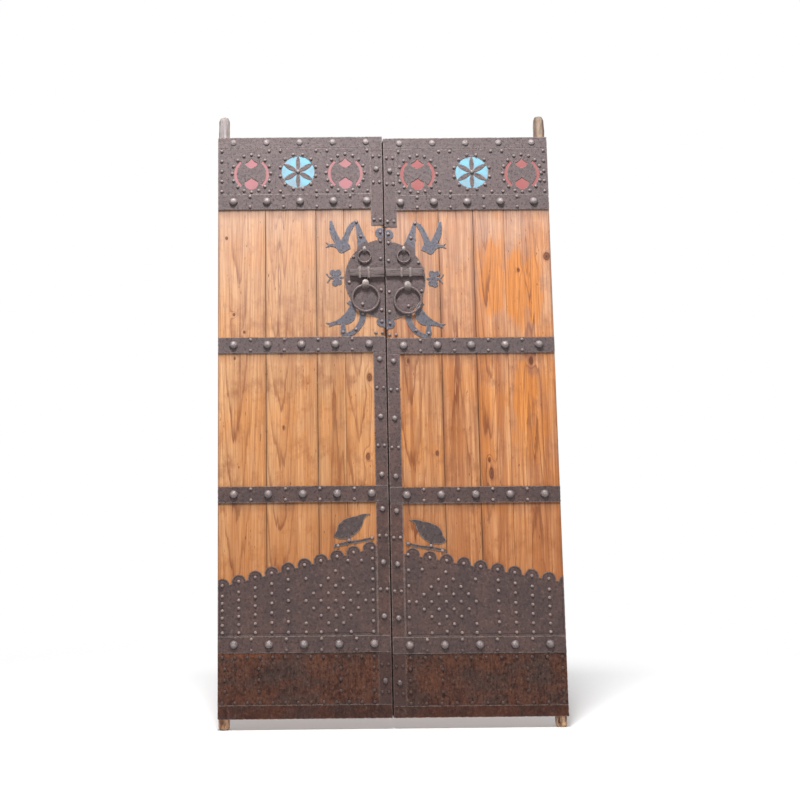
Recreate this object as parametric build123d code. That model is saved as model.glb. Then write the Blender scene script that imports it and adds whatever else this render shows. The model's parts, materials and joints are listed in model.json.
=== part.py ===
from build123d import *
import math
import os

# A pair of plank door leaves clad with hand-forged iron, shown closed and seen from the street.
# X runs to the right along the doors, -Y is the street side, and Z is up.
# The origin lies under the middle of the closed pair, level with the feet of the lower pegs.
# Each leaf is drawn as the right-hand one: x is the distance from the middle of the seam,
# z the height above the foot of the planks, and y = 0 the middle of the planks.

# Planks and the battens behind them
leaf_width = 627.0
leaf_height = 2160.0
plank_thickness = 50.0
seam_gap = 3.0
plank_joint = 0.4
batten_height = 60.0
batten_depth = 35.0
batten_inset = 35.0

# Pivot pegs: the bare wooden pegs that stand in the sockets of a door frame
peg_radius = 22.0
upper_peg_length = 88.0
lower_peg_length = 40.0
upper_peg_rounding = 8.0
lower_peg_chamfer = 4.0
tenon_radius = 16.0
tenon_length = 110.0
tenon_clearance = 0.06
tenon_end_gap = 2.0
shoulder_gap = 0.3

# Sheet and strap thicknesses
backing_thickness = 1.0
sheet_thickness = 2.0
strip_thickness = 3.0
band_thickness = 4.0
cut_plate_thickness = 2.5

# Heights of the ironwork above the foot of the planks
foot_strap_height = 50.0
bottom_band_middle = 0.1208 * leaf_height
lower_band_middle = 0.3704 * leaf_height
middle_band_middle = 0.6273 * leaf_height
upper_band_middle = 0.8824 * leaf_height
band_width = 60.0
top_strap_height = 43.0
tab_length = 64.0

# The strips beside the seam
iron_inset = 1.0
strip_edge = 49.0

# Stud and nail heads
band_stud_count = 5
first_stud = 64.0
last_stud_inset = 58.5
band_stud_radius = 16.5
band_stud_rise = 12.0
strip_stud_radius = 11.0
strip_stud_rise = 8.0
strap_stud_radius = 13.0
strap_stud_rise = 4.0
nail_radius = 6.5
nail_rise = 5.0
nail_sides = 6
nail_pair_half = 20.0
strip_nail_half = 12.0
strip_row_inset = 27.0
middle_strip_foot = 39.0
lower_strip_foot = 67.0
tab_nail_rise = 21.0
tab_nail_drop = 35.0
tab_stud_drop = 86.0
kick_pair_inset = 42.0
kick_stud_drop = 10.0

# Pierced panel: coin roundels backed in red and a six-petal rosette backed in blue
panel_row_inset = 11.0
panel_edge_inset = 15.0
panel_pair_half = 21.0
roundel_fall = 8.5
rosette_fall = 2.5
roundel_radius = 66.0
crescent_width = 10.0
crescent_half_angle = 50.0
diamond_half_width = 25.0
roundel_nail_ring = 73.5
roundel_nails = 16
rosette_radius = 62.0
petal_length = 66.0
petal_width = 17.0
hub_radius = 9.0
rosette_nail_ring = 69.5
rosette_nails = 12
hub_stud_radius = 9.0
hub_stud_rise = 6.0

# Lock plate, one half on each leaf; its silhouettes and rings are drawn for the drawn radius
drawn_plate_radius = 152.0
lock_plate_middle = 0.7431 * leaf_height
lock_plate_radius = 152.0
lobe_radius = 20.0
lobe_offset = 15.0
upper_lobe_reach = 25.0
lower_lobe_reach = 12.0
neck_width = 26.0
silhouette_gap = 1.0

# Ring pulls and the saddles that hold them
large_ring_radius = 50.0
large_wire_radius = 4.5
large_saddle_width = 26.0
large_saddle_hood = 24.0
small_ring_radius = 24.0
small_wire_radius = 3.2
small_saddle_width = 14.0
small_saddle_hood = 15.0
saddle_wall = 2.5
saddle_play = 0.5
saddle_foot = 4.0

# Bolt on the right leaf and the channel that receives it on the left leaf
bolt_rise = 21.0
bolt_height = 28.0
bolt_thickness = 8.0
bolt_play = 1.0
bolt_tip = 3.0
bolt_end = 147.0
bolt_head_length = 6.0
bolt_head_height = 34.0
bolt_head_rise = 4.0
staple_width = 9.0
staple_near = 62.0
staple_far = 95.0
channel_wall = 3.0
channel_mouth = 3.0
channel_end = 104.0
knob_length = 28.0
knob_height = 26.0

# Branch that the lower bird stands on, below the lower band
branch_fall = 170.0

# Scalloped plates and kick plates
scallop_count = 10
scallop_radius = 27.0
scallop_nail_rise = 2.0
column_top_drop = 38.0
column_nails = 6
plate_row_inset = 13.0
stile_inset = 16.0
diamond_side = 5
diamond_rise = 154.0
diamond_offset = 200.0
diamond_step_across = 27.0
diamond_step_up = 26.5
kick_row_inset = 14.0
kick_foot_inset = 8.0
kick_nail_inset = 16.0

# Worked out from the sizes above
plank_front = plank_thickness / 2
leaf_edge = seam_gap / 2
leaf_outer = leaf_edge + leaf_width
iron_edge = leaf_edge + iron_inset
peg_offset = leaf_outer - peg_radius - 0.5
stud_pitch = (leaf_outer - last_stud_inset - first_stud) / (band_stud_count - 1)
tab_foot = upper_band_middle - band_width / 2 - tab_length
panel_foot = upper_band_middle + band_width / 2
panel_top = leaf_height - top_strap_height
roundel_height = (panel_foot + panel_top) / 2 - roundel_fall
rosette_height = (panel_foot + panel_top) / 2 - rosette_fall
plate_scale = lock_plate_radius / drawn_plate_radius
upper_lobe_rise = lock_plate_radius + upper_lobe_reach
lower_lobe_fall = lock_plate_radius + lower_lobe_reach
bolt_middle = lock_plate_middle + bolt_rise
branch_middle = lower_band_middle - branch_fall
lock_front = plank_front + cut_plate_thickness
panel_lift = plank_front + backing_thickness
large_bore = (large_ring_radius - math.sqrt(large_ring_radius ** 2 - (large_saddle_width / 2) ** 2)
              + large_wire_radius + saddle_play)
small_bore = (small_ring_radius - math.sqrt(small_ring_radius ** 2 - (small_saddle_width / 2) ** 2)
              + small_wire_radius + saddle_play)
front_reach = lock_front + 2 * large_bore + saddle_wall
back_reach = plank_front + batten_depth
depth_shift = (front_reach - back_reach) / 2


def across_leaf(*shares):
    """Distances from the middle of the seam, from shares of the leaf's width."""
    return tuple(leaf_edge + share * leaf_width for share in shares)


class Leaf:
    """The places that differ between the two leaves."""

    def __init__(self, name, mirrored, drop, plank_seams, roundels, rosette, scallop_first,
                 scallop_pitch, scallop_rise, scallop_fall, crown_nails, stile_nails, kick_nails,
                 kick_columns, bird_drop, swallow_shift, rim_nails, large_ring, small_ring):
        self.name = name
        self.mirrored = mirrored
        self.drop = drop
        self.plank_seams = plank_seams
        self.roundels = roundels
        self.rosette = rosette
        self.scallop_first = scallop_first
        self.scallop_pitch = scallop_pitch
        self.scallop_rise = scallop_rise
        self.scallop_fall = scallop_fall
        self.crown_nails = crown_nails
        self.stile_nails = stile_nails
        self.kick_nails = kick_nails
        self.kick_columns = kick_columns
        self.bird_drop = bird_drop
        self.swallow_shift = swallow_shift
        self.rim_nails = rim_nails
        self.large_ring = large_ring
        self.small_ring = small_ring


# The right leaf hangs lower by this much, as a worn pair does
right_leaf_drop = 8.0
left_leaf = Leaf("left", mirrored=True, drop=0.0, plank_seams=across_leaf(0.242, 0.409, 0.714),
                 roundels=across_leaf(0.227, 0.797), rosette=across_leaf(0.514)[0],
                 scallop_first=74.0, scallop_pitch=59.7, scallop_rise=338.0, scallop_fall=0.24,
                 crown_nails=((105.0, 297.0), (155.0, 297.0)), stile_nails=9, kick_nails=13,
                 kick_columns=across_leaf(0.103, 0.294, 0.763, 0.959), bird_drop=0.0, swallow_shift=0.0,
                 rim_nails=((118.0, 84.0), (135.0, -14.0)),
                 large_ring=(74.0, -26.0), small_ring=(76.0, 109.0))
right_leaf = Leaf("right", mirrored=False, drop=right_leaf_drop, plank_seams=across_leaf(0.327, 0.536, 0.723),
                  roundels=across_leaf(0.207, 0.841), rosette=across_leaf(0.537)[0],
                  scallop_first=82.0, scallop_pitch=61.5, scallop_rise=314.0, scallop_fall=0.186,
                  crown_nails=((115.0, 270.0),), stile_nails=6, kick_nails=11,
                  kick_columns=across_leaf(0.1, 0.285, 0.773, 0.974), bird_drop=14.0, swallow_shift=12.0,
                  rim_nails=((127.0, 68.0), (137.0, -42.0)),
                  large_ring=(84.0, -28.0), small_ring=(72.0, 116.0))


def place(shape, leaf):
    """Move a shape from the drawing of the right-hand leaf to its place in the pair."""
    if leaf.mirrored:
        shape = mirror(shape, about=Plane.YZ)
    return Pos(0, depth_shift, lower_peg_length) * shape


def save(name, shapes):
    """Write one sub-part, as one solid or as a group of separate solids."""
    shapes = list(shapes)
    solids = [solid for shape in shapes for solid in shape.solids()]
    export_step(solids[0] if len(solids) == 1 else Compound(children=solids), f"parts/{name}.step")


def box_between(x0, x1, y0, y1, z0, z1):
    """A box given by its limits along each axis."""
    middle = Pos((x0 + x1) / 2, (y0 + y1) / 2, (z0 + z1) / 2)
    return middle * Box(x1 - x0, y1 - y0, z1 - z0)


def flat(x0, x1, z0, z1):
    """A rectangle on the drawing of the leaf's face."""
    return Pos((x0 + x1) / 2, (z0 + z1) / 2) * Rectangle(x1 - x0, z1 - z0)


def on_front(sketch, lift, thickness):
    """A sheet cut to a sketch, with its back face lift in front of the middle of the planks."""
    return extrude(Plane.XZ.offset(lift) * sketch, thickness)


def heads(head, lift, places):
    """Copies of one head standing out from the face at each place."""
    return [Plane.XZ.offset(lift) * Pos(x, z) * head for x, z in places]


def dome(radius, rise):
    """A round head with a domed face and a flat back."""
    ball = (radius ** 2 + rise ** 2) / (2 * rise)
    half = math.degrees(math.asin(radius / ball))
    rim = CenterArc((0, rise - ball), ball, 90 - half, half)
    outline = rim + Line((0, rise), (0, 0)) + Line((0, 0), (radius, 0))
    return revolve(Plane.XZ * make_face(outline), Axis.Z)


def nail_head():
    """The faceted head of a hand-forged nail."""
    return loft([RegularPolygon(nail_radius, nail_sides).face(), Vertex(0, 0, nail_rise)])


def spread(first, last, count):
    """Evenly spaced places from first to last."""
    return [first + (last - first) * i / (count - 1) for i in range(count)]


def on_circle(x, z, radius, count, start=0.0):
    """Evenly spaced places round a circle."""
    turns = [math.radians(start + 360 * i / count) for i in range(count)]
    return [(x + radius * math.cos(turn), z + radius * math.sin(turn)) for turn in turns]


def closed(*edges):
    """A sketch bounded by edges that follow one another."""
    return make_face(Wire(edges))


# Planks, battens and pegs


def leaf_top(leaf):
    return leaf_height - leaf.drop


def planks(leaf):
    """The planks of one leaf from the seam outwards; the outer one is bored for the two pegs."""
    edges = [leaf_edge, *leaf.plank_seams, leaf_outer]
    boards = []
    for near, far in zip(edges, edges[1:]):
        start = near if near == leaf_edge else near + plank_joint / 2
        end = far if far == leaf_outer else far - plank_joint / 2
        boards.append(box_between(start, end, -plank_front, plank_front, 0, leaf_top(leaf)))
    depth = tenon_length + tenon_end_gap
    for foot in (0, leaf_top(leaf) - depth):
        bore = Cylinder(tenon_radius + tenon_clearance, depth)
        boards[-1] -= Pos(peg_offset, 0, foot + depth / 2) * bore
    return boards


def battens(leaf):
    """Horizontal battens nailed across the back of the planks, behind each iron band."""
    middles = (bottom_band_middle, lower_band_middle, middle_band_middle, upper_band_middle)
    bars = []
    for middle in middles:
        height = middle - leaf.drop
        bar = box_between(leaf_edge + batten_inset, leaf_outer - batten_inset, plank_front,
                          plank_front + batten_depth, height - batten_height / 2,
                          height + batten_height / 2)
        bars.append(chamfer(bar.faces().sort_by(Axis.Y)[-1].edges(), 5))
    return bars


def upper_peg(leaf):
    """A peg that stands on top of the leaf, worn round at its head, with its tenon below."""
    head = Pos(0, 0, upper_peg_length / 2) * Cylinder(peg_radius, upper_peg_length)
    head = fillet(head.edges().sort_by(Axis.Z)[-1], upper_peg_rounding)
    length = tenon_length + shoulder_gap
    tenon = Pos(0, 0, -length / 2) * Cylinder(tenon_radius, length)
    return Pos(peg_offset, 0, leaf_top(leaf) + shoulder_gap) * (head + tenon)


def lower_peg():
    """A peg that stands under the leaf, with its tenon above."""
    middle = -(lower_peg_length + shoulder_gap) / 2
    head = Pos(0, 0, middle) * Cylinder(peg_radius, lower_peg_length - shoulder_gap)
    head = chamfer(head.edges().sort_by(Axis.Z)[0], lower_peg_chamfer)
    length = tenon_length + shoulder_gap
    tenon = Pos(0, 0, tenon_length - length / 2) * Cylinder(tenon_radius, length)
    return Pos(peg_offset, 0, 0) * (head + tenon)


# Straps, bands and strips


def band(leaf, middle, near=iron_edge):
    """A flat iron band across the planks."""
    height = middle - leaf.drop
    sketch = flat(near, leaf_outer, height - band_width / 2, height + band_width / 2)
    return on_front(sketch, plank_front, band_thickness)


def top_edge_strap(leaf):
    top = leaf_top(leaf)
    sketch = flat(iron_edge, leaf_outer, top - top_strap_height, top)
    return on_front(sketch, plank_front, band_thickness)


def foot_strap(leaf):
    sketch = flat(iron_edge, leaf_outer, 0, foot_strap_height - leaf.drop)
    return on_front(sketch, plank_front, band_thickness)


def strip_spans(leaf):
    """The heights between which the narrow strips beside the seam run."""
    half = band_width / 2
    spans = [(tab_foot, panel_top),
             (lower_band_middle + half, middle_band_middle - half),
             (bottom_band_middle + half, lower_band_middle - half),
             (foot_strap_height, bottom_band_middle - half)]
    return [(low - leaf.drop, high - leaf.drop) for low, high in spans]


def meeting_strips(leaf):
    return [on_front(flat(iron_edge, strip_edge, low, high), plank_front, strip_thickness)
            for low, high in strip_spans(leaf)]


# Pierced panel


def roundel_holes():
    """The holes of a coin roundel: two crescents at the sides and a pointed shape above and below."""
    outer = Circle(roundel_radius)
    inner = Circle(roundel_radius - crescent_width)
    reach = roundel_radius * 1.5
    turn = math.radians(crescent_half_angle)
    wedge = Polygon((0, 0), (reach * math.cos(turn), reach * math.sin(turn)),
                    (reach * 1.5, 0), (reach * math.cos(turn), -reach * math.sin(turn)), align=None)
    crescent = (outer - inner) & wedge
    half = diamond_half_width
    rim = roundel_radius - 4
    upper = closed(ThreePointArc((0, rim), (half * 0.42, rim - 13), (half, rim - 21)),
                   ThreePointArc((half, rim - 21), (half * 0.62, rim - 33), (0, rim - 40)),
                   ThreePointArc((0, rim - 40), (-half * 0.62, rim - 33), (-half, rim - 21)),
                   ThreePointArc((-half, rim - 21), (-half * 0.42, rim - 13), (0, rim)))
    lower = closed(ThreePointArc((0, -rim + 46), (half * 0.5, -rim + 37), (half, -rim + 30)),
                   ThreePointArc((half, -rim + 30), (half * 0.85, -rim + 12), (0, -rim)),
                   ThreePointArc((0, -rim), (-half * 0.85, -rim + 12), (-half, -rim + 30)),
                   ThreePointArc((-half, -rim + 30), (-half * 0.5, -rim + 37), (0, -rim + 46)))
    return [crescent, Rot(0, 0, 180) * crescent, upper, lower]


def rosette_holes():
    """The six gaps between the petals of the rosette."""
    half_length = petal_length / 2
    half_width = petal_width / 2
    bow = (half_length ** 2 + half_width ** 2) / (2 * half_width)
    petal = Pos(half_length, bow - half_width) * Circle(bow)
    petal &= Pos(half_length, half_width - bow) * Circle(bow)
    gaps = Circle(rosette_radius) - Circle(hub_radius)
    for turn in range(6):
        gaps -= Rot(0, 0, 30 + 60 * turn) * petal
    return gaps


def pierced_panel(leaf):
    sheet = flat(strip_edge, leaf_outer, panel_foot - leaf.drop, panel_top - leaf.drop)
    height = roundel_height - leaf.drop
    for x in leaf.roundels:
        for hole in roundel_holes():
            sheet -= Pos(x, height) * hole
    sheet -= Pos(leaf.rosette, rosette_height - leaf.drop) * rosette_holes()
    return on_front(sheet, panel_lift, sheet_thickness)


def painted_backing(leaf):
    """Three thin painted sheets behind the pierced panel: red, blue and red."""
    near = (leaf.roundels[0] + leaf.rosette) / 2
    far = (leaf.roundels[1] + leaf.rosette) / 2
    edges = [strip_edge, near, far, leaf_outer]
    return [on_front(flat(start, end, panel_foot - leaf.drop, panel_top - leaf.drop),
                     plank_front, backing_thickness)
            for start, end in zip(edges, edges[1:])]


# Kick plate and scalloped plate


def kick_plate(leaf):
    low = foot_strap_height - leaf.drop
    high = bottom_band_middle - band_width / 2 - leaf.drop
    return on_front(flat(strip_edge, leaf_outer, low, high), plank_front, sheet_thickness)


def scallops(leaf):
    """The centres of the scallops, falling away from the seam."""
    first = bottom_band_middle + leaf.scallop_rise
    places = []
    for i in range(scallop_count):
        x = leaf.scallop_first + leaf.scallop_pitch * i
        if x < leaf_outer + scallop_radius / 2:
            places.append((x, first - leaf.scallop_fall * leaf.scallop_pitch * i))
    return places


def scalloped_sketch(leaf):
    low = bottom_band_middle + band_width / 2 - leaf.drop
    first = bottom_band_middle + leaf.scallop_rise
    inner_height = first + leaf.scallop_fall * (leaf.scallop_first - strip_edge)
    outer_height = first - leaf.scallop_fall * (leaf_outer - leaf.scallop_first)
    sheet = Polygon((strip_edge, low), (leaf_outer, low), (leaf_outer, outer_height),
                    (strip_edge, inner_height), align=None)
    for x, z in scallops(leaf):
        sheet += Pos(x, z) * Circle(scallop_radius)
    return sheet & flat(strip_edge, leaf_outer, low, leaf_height)


def scalloped_plate(leaf):
    return on_front(scalloped_sketch(leaf), plank_front, sheet_thickness)


# Lock plate and silhouettes


def on_plate(sketch, shift=0.0):
    """A sketch drawn round the middle of the lock plate, brought to the plate's size and place."""
    return Pos(shift, lock_plate_middle) * scale(sketch, by=plate_scale)


def horn_sketch(leaf):
    """The horn that rises from the lock plate to the near wing of the swallow."""
    horn = closed(Spline((56, 130), (80, 179), (99, 225)),
                  ThreePointArc((99, 225), (105, 229), (112, 223)),
                  Spline((112, 223), (105, 170), (106, 90)),
                  Line((106, 90), (56, 130)))
    return on_plate(horn, leaf.swallow_shift)


def leaf_sketch():
    """The curved leaf that hangs from the lock plate to the foot of the perched bird."""
    blade = closed(Spline((70, -125), (84, -173), (112, -207), (168, -218)),
                   Line((168, -218), (166, -210)),
                   Spline((166, -210), (130, -196), (108, -173), (104, -115)),
                   Line((104, -115), (70, -125)))
    return on_plate(blade)


def above_middle_band(sketch):
    """A sketch cut off a little above the middle band, so that its plate lies flat on the wood."""
    band_top = middle_band_middle + band_width / 2 + silhouette_gap
    return sketch & flat(iron_edge, leaf_outer, band_top, leaf_height)


def lock_plate_sketch(leaf):
    plate = Pos(0, lock_plate_middle) * Circle(lock_plate_radius)
    upper = lock_plate_middle + upper_lobe_rise
    lower = lock_plate_middle - lower_lobe_fall
    plate += Pos(lobe_offset, upper) * Circle(lobe_radius)
    plate += Pos(lobe_offset, lower) * Circle(lobe_radius)
    plate += flat(0, neck_width, lower, upper)
    tip = lower - lobe_radius
    plate += Polygon((0, tip - 8), (lobe_offset, tip + 3), (0, lower), align=None)
    plate += horn_sketch(leaf) + leaf_sketch()
    return above_middle_band(plate)


def swallow_sketch(leaf):
    """A swallow with raised wings and a forked tail, its near wing meeting the horn."""
    wings = closed(Spline((174, 107), (166, 101), (148, 107)),
                   Line((148, 107), (127, 117)),
                   Line((127, 117), (130, 131)),
                   Line((130, 131), (137, 137)),
                   Spline((137, 137), (133, 160), (112, 207)),
                   Line((112, 207), (107, 225)),
                   Spline((107, 225), (124, 219), (146, 187), (164, 151)),
                   Spline((164, 151), (180, 183), (195, 223)),
                   ThreePointArc((195, 223), (201, 227), (206, 219)),
                   Spline((206, 219), (205, 177), (186, 139)),
                   Line((186, 139), (206, 136)),
                   Line((206, 136), (221, 141)),
                   Line((221, 141), (213, 132)),
                   Line((213, 132), (222, 122)),
                   Line((222, 122), (204, 126)),
                   Spline((204, 126), (186, 122), (174, 107)))
    return on_plate(wings, leaf.swallow_shift) - horn_sketch(leaf)


def butterfly_sketch():
    """A butterfly flying away from the lock plate."""
    body = Pos(182, 6) * Ellipse(27, 6)
    wings = Pos(197, 26) * Circle(11) + Pos(176, 25) * Circle(12)
    wings += Pos(188, -15) * Circle(12) + Pos(173, -11) * Circle(11)
    wings += flat(172, 194, -10, 23)
    feelers = Polygon((204, 7), (208, 3), (222, 20), (219, 23), align=None)
    feelers += Polygon((201, 3), (216, -14), (219, -11), (206, 7), align=None)
    return on_plate(body + wings + feelers)


def perched_bird_sketch():
    """A long-tailed bird perched on the curved leaf."""
    bird = closed(Spline((224, -167), (178, -153), (150, -127), (134, -103)),
                  Line((134, -103), (146, -91)),
                  Line((146, -91), (132, -81)),
                  Spline((132, -81), (116, -100), (111, -135), (120, -159)),
                  Spline((120, -159), (134, -169), (152, -173)),
                  Line((152, -173), (148, -197)),
                  ThreePointArc((148, -197), (160, -214), (172, -201)),
                  Line((172, -201), (168, -173)),
                  Spline((168, -173), (190, -175), (214, -183)),
                  Line((214, -183), (212, -175)),
                  Line((212, -175), (224, -167)))
    return above_middle_band(on_plate(bird) - leaf_sketch())


def branch_bird_sketch(leaf):
    """A bird with its beak towards the seam, standing on a branch above the scalloped plate."""
    bird = closed(Spline((70, 94), (98, 96), (120, 89)),
                  Spline((120, 89), (150, 83), (176, 70), (194, 38)),
                  Line((194, 38), (206, 16)),
                  Line((206, 16), (190, 7)),
                  Spline((190, 7), (150, 10), (118, 30), (96, 66)),
                  Spline((96, 66), (88, 84), (70, 94)))
    branch = Polygon((57, 15), (57, 3), (110, -8), (152, -14), (206, -26), (204, -13), (152, -1),
                     (110, 3), align=None)
    leg = flat(143, 155, -10, 20)
    design = Pos(0, branch_middle - leaf.bird_drop) * (bird + branch + leg)
    return design - Pos(0, leaf.drop) * scalloped_sketch(leaf)


# Rings and their saddles


def ring(radius, wire_radius):
    """A round ring that hangs from the point of its bore centre at the origin."""
    return Pos(0, 0, -radius) * (Rot(90, 0, 0) * Torus(radius, wire_radius))


def saddle(bore, width, hood):
    """A strap bent over the wire of a ring, with a sloping hood above and a short foot below."""
    outer = bore + saddle_wall
    bent = Circle(outer) + Pos(bore / 2, 0) * Rectangle(bore, 2 * outer)
    bent += Polygon((-outer * 0.6, outer * 0.8), (0, 0), (bore, 0), (bore, hood), (bore - saddle_wall, hood),
                    align=None)
    bent += Pos(bore - saddle_wall / 2, -outer) * Rectangle(saddle_wall, 2 * saddle_foot)
    bent -= Circle(bore)
    bent -= Pos(bore / 2, 0) * Rectangle(bore, 2 * bore)
    bent -= Pos(bore + outer, 0) * Rectangle(2 * outer, 4 * outer)
    across = Plane(origin=(-width / 2, 0, 0), x_dir=(0, 1, 0), z_dir=(1, 0, 0))
    return extrude(across * bent, width)


def ring_places(leaf):
    """The bore centres of the large and the small ring of one leaf."""
    middle = lock_plate_middle - leaf.drop
    large_x, large_up = leaf.large_ring
    small_x, small_up = leaf.small_ring
    large = Pos(large_x * plate_scale, -(lock_front + large_bore), middle + large_up * plate_scale)
    small = Pos(small_x * plate_scale, -(lock_front + small_bore), middle + small_up * plate_scale)
    return large, small


# Bolt and channel


def channel_depth():
    """How far the inside of the channel stands out from the lock plate."""
    return bolt_thickness + 2 * bolt_play


def staple(x, height, depth, middle):
    """A squared strap over the bolt or the channel, with its two ends against the plate behind."""
    half = height / 2 + bolt_play / 2
    outer = box_between(x - staple_width / 2, x + staple_width / 2,
                        -(lock_front + depth + channel_wall), -lock_front,
                        middle - half - channel_wall, middle + half + channel_wall)
    inner = box_between(x - staple_width, x + staple_width,
                        -(lock_front + depth), 0, middle - half, middle + half)
    return outer - inner


def bolt_staples(leaf):
    """Two staples: over the channel on the left leaf, and over the bolt on the right one."""
    height = bolt_height
    depth = channel_depth()
    if leaf.mirrored:
        height += 2 * (bolt_play + channel_wall)
        depth += channel_wall + bolt_play / 2
    return [staple(x, height, depth, bolt_middle) for x in (staple_near, staple_far)]


def door_bolt():
    """The sliding bar, with an upset head at its outer end, level with the channel on the other leaf."""
    middle = bolt_middle
    back = lock_front + bolt_play
    front = back + bolt_thickness
    bar = box_between(bolt_tip, bolt_end, -front, -back, middle - bolt_height / 2, middle + bolt_height / 2)
    head = box_between(bolt_end - bolt_head_length, bolt_end, -front - bolt_head_rise, -back,
                       middle - bolt_head_height / 2, middle + bolt_head_height / 2)
    return bar + head


def keeper_channel():
    """The box channel that the bolt runs into, closed by a square knob at its far end."""
    middle = bolt_middle
    half = bolt_height / 2 + bolt_play
    depth = channel_depth()
    outer = box_between(channel_mouth, channel_end, -(lock_front + depth + channel_wall), -lock_front,
                        middle - half - channel_wall, middle + half + channel_wall)
    inner = box_between(0, channel_end - channel_wall, -(lock_front + depth), 0,
                        middle - half, middle + half)
    knob = box_between(channel_end - channel_wall, channel_end + knob_length,
                       -(lock_front + depth + channel_wall), -lock_front,
                       middle - knob_height / 2, middle + knob_height / 2)
    return outer - inner + knob


# Stud and nail heads


def strip_stud_rows(leaf):
    """The heights of the three studs on each of the two long strips, from the lowest up."""
    upper, middle, lower, kick = strip_spans(leaf)
    rows = []
    for (low, high), foot in ((middle, middle_strip_foot), (lower, lower_strip_foot)):
        rows.append(spread(low + foot, high - strip_row_inset, 3))
    return rows


def stud_heads(leaf):
    """The domed studs of the bands and strips and the flatter ones of the top edge strap."""
    xs = [first_stud + stud_pitch * i for i in range(band_stud_count)]
    middles = (bottom_band_middle, lower_band_middle, middle_band_middle, upper_band_middle)
    band_places = [(x, middle - leaf.drop) for middle in middles for x in xs]
    strap_places = [(x, leaf_top(leaf) - top_strap_height / 2) for x in xs]
    kick = strip_spans(leaf)[3]
    rows = [panel_top - leaf.drop - tab_stud_drop, (kick[0] + kick[1]) / 2 - kick_stud_drop]
    for span in strip_stud_rows(leaf):
        rows += span
    strip_places = [((iron_edge + strip_edge) / 2, z) for z in rows]
    studs = heads(dome(band_stud_radius, band_stud_rise), plank_front + band_thickness, band_places)
    studs += heads(dome(strap_stud_radius, strap_stud_rise), plank_front + band_thickness, strap_places)
    studs += heads(dome(strip_stud_radius, strip_stud_rise), plank_front + strip_thickness, strip_places)
    studs += heads(dome(hub_stud_radius, hub_stud_rise), panel_lift + sheet_thickness,
                   [(leaf.rosette, rosette_height - leaf.drop)])
    return studs


def band_nails(leaf):
    """A pair of nails between each two studs of a band."""
    xs = [first_stud + stud_pitch * (i + 0.5) for i in range(band_stud_count - 1)]
    middles = (bottom_band_middle, lower_band_middle, middle_band_middle, upper_band_middle)
    return [(x, middle - leaf.drop + up) for middle in middles for x in xs
            for up in (-nail_pair_half, nail_pair_half)]


def strip_nails(leaf):
    """Pairs of nails on the strips, midway between their studs."""
    upper, middle, lower, kick = strip_spans(leaf)
    rows = [upper[0] + tab_nail_rise, upper[1] - tab_nail_drop, upper[1] - tab_stud_drop * 2 + tab_nail_drop]
    rows += [kick[0] + kick_pair_inset, kick[1] - kick_pair_inset]
    for low, middle_row, high in strip_stud_rows(leaf):
        rows += [(low + middle_row) / 2, (middle_row + high) / 2]
    strip_x = (iron_edge + strip_edge) / 2
    return [(strip_x + side * strip_nail_half, z) for z in rows for side in (-1, 1)]


def panel_nails(leaf):
    """Rings of nails round the roundels and the rosette, and a row along the top and the foot."""
    height = roundel_height - leaf.drop
    places = []
    for x in leaf.roundels:
        places += on_circle(x, height, roundel_nail_ring, roundel_nails)
    places += on_circle(leaf.rosette, rosette_height - leaf.drop, rosette_nail_ring, rosette_nails,
                        start=180 / rosette_nails)
    top = panel_top - leaf.drop - panel_row_inset
    foot = panel_foot - leaf.drop + panel_row_inset
    outer = leaf_outer - panel_edge_inset
    columns = [strip_edge + panel_row_inset, outer]
    for x in leaf.roundels:
        columns += [(x + leaf.rosette) / 2 + side * panel_pair_half for side in (-1, 1)]
    places += [(x, z) for x in columns for z in (foot, top)]
    places += [(outer, z) for z in spread(foot, top, 5)[1:-1]]
    return places


def plate_nails(leaf):
    """The nails of the scalloped plate: one in each scallop, columns below, and a diamond field."""
    foot = bottom_band_middle + band_width / 2 - leaf.drop + plate_row_inset
    crests = [(x, z + scallop_nail_rise) for x, z in scallops(leaf)]
    places = [(x, z) for x, z in crests[1:] if x < leaf_outer - nail_radius]
    middle = bottom_band_middle + diamond_rise - leaf.drop
    corner = diamond_offset + (diamond_side - 1) * diamond_step_across
    for x, z in places[:]:
        if x > corner + diamond_step_across * 1.5:
            places += [(x, height) for height in spread(foot, z - column_top_drop, column_nails)]
    for i in range(diamond_side):
        for j in range(diamond_side):
            places.append((diamond_offset + (i - j) * diamond_step_across,
                           middle + (i + j - diamond_side + 1) * diamond_step_up))
    places += [(corner, middle + side * (diamond_side - 2) * diamond_step_up) for side in (-1, 1)]
    places += [(x, bottom_band_middle + up - leaf.drop) for x, up in leaf.crown_nails]
    places += [(strip_edge + stile_inset, z) for z in spread(foot, crests[0][1], leaf.stile_nails)]
    places += [(diamond_offset + i * 2 * diamond_step_across, foot) for i in (-1, 1, 2)]
    return places


def kick_nails(leaf):
    """Two rows of nails along the kick plate and four short columns between them."""
    low = foot_strap_height - leaf.drop + kick_foot_inset
    high = bottom_band_middle - band_width / 2 - leaf.drop - kick_row_inset
    row = spread(strip_edge + kick_nail_inset, leaf_outer - kick_nail_inset, leaf.kick_nails)
    places = [(x, z) for x in row for z in (low, high)]
    places += [(x, z) for x in leaf.kick_columns for z in spread(low, high, 5)[1:-1]]
    return places


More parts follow.
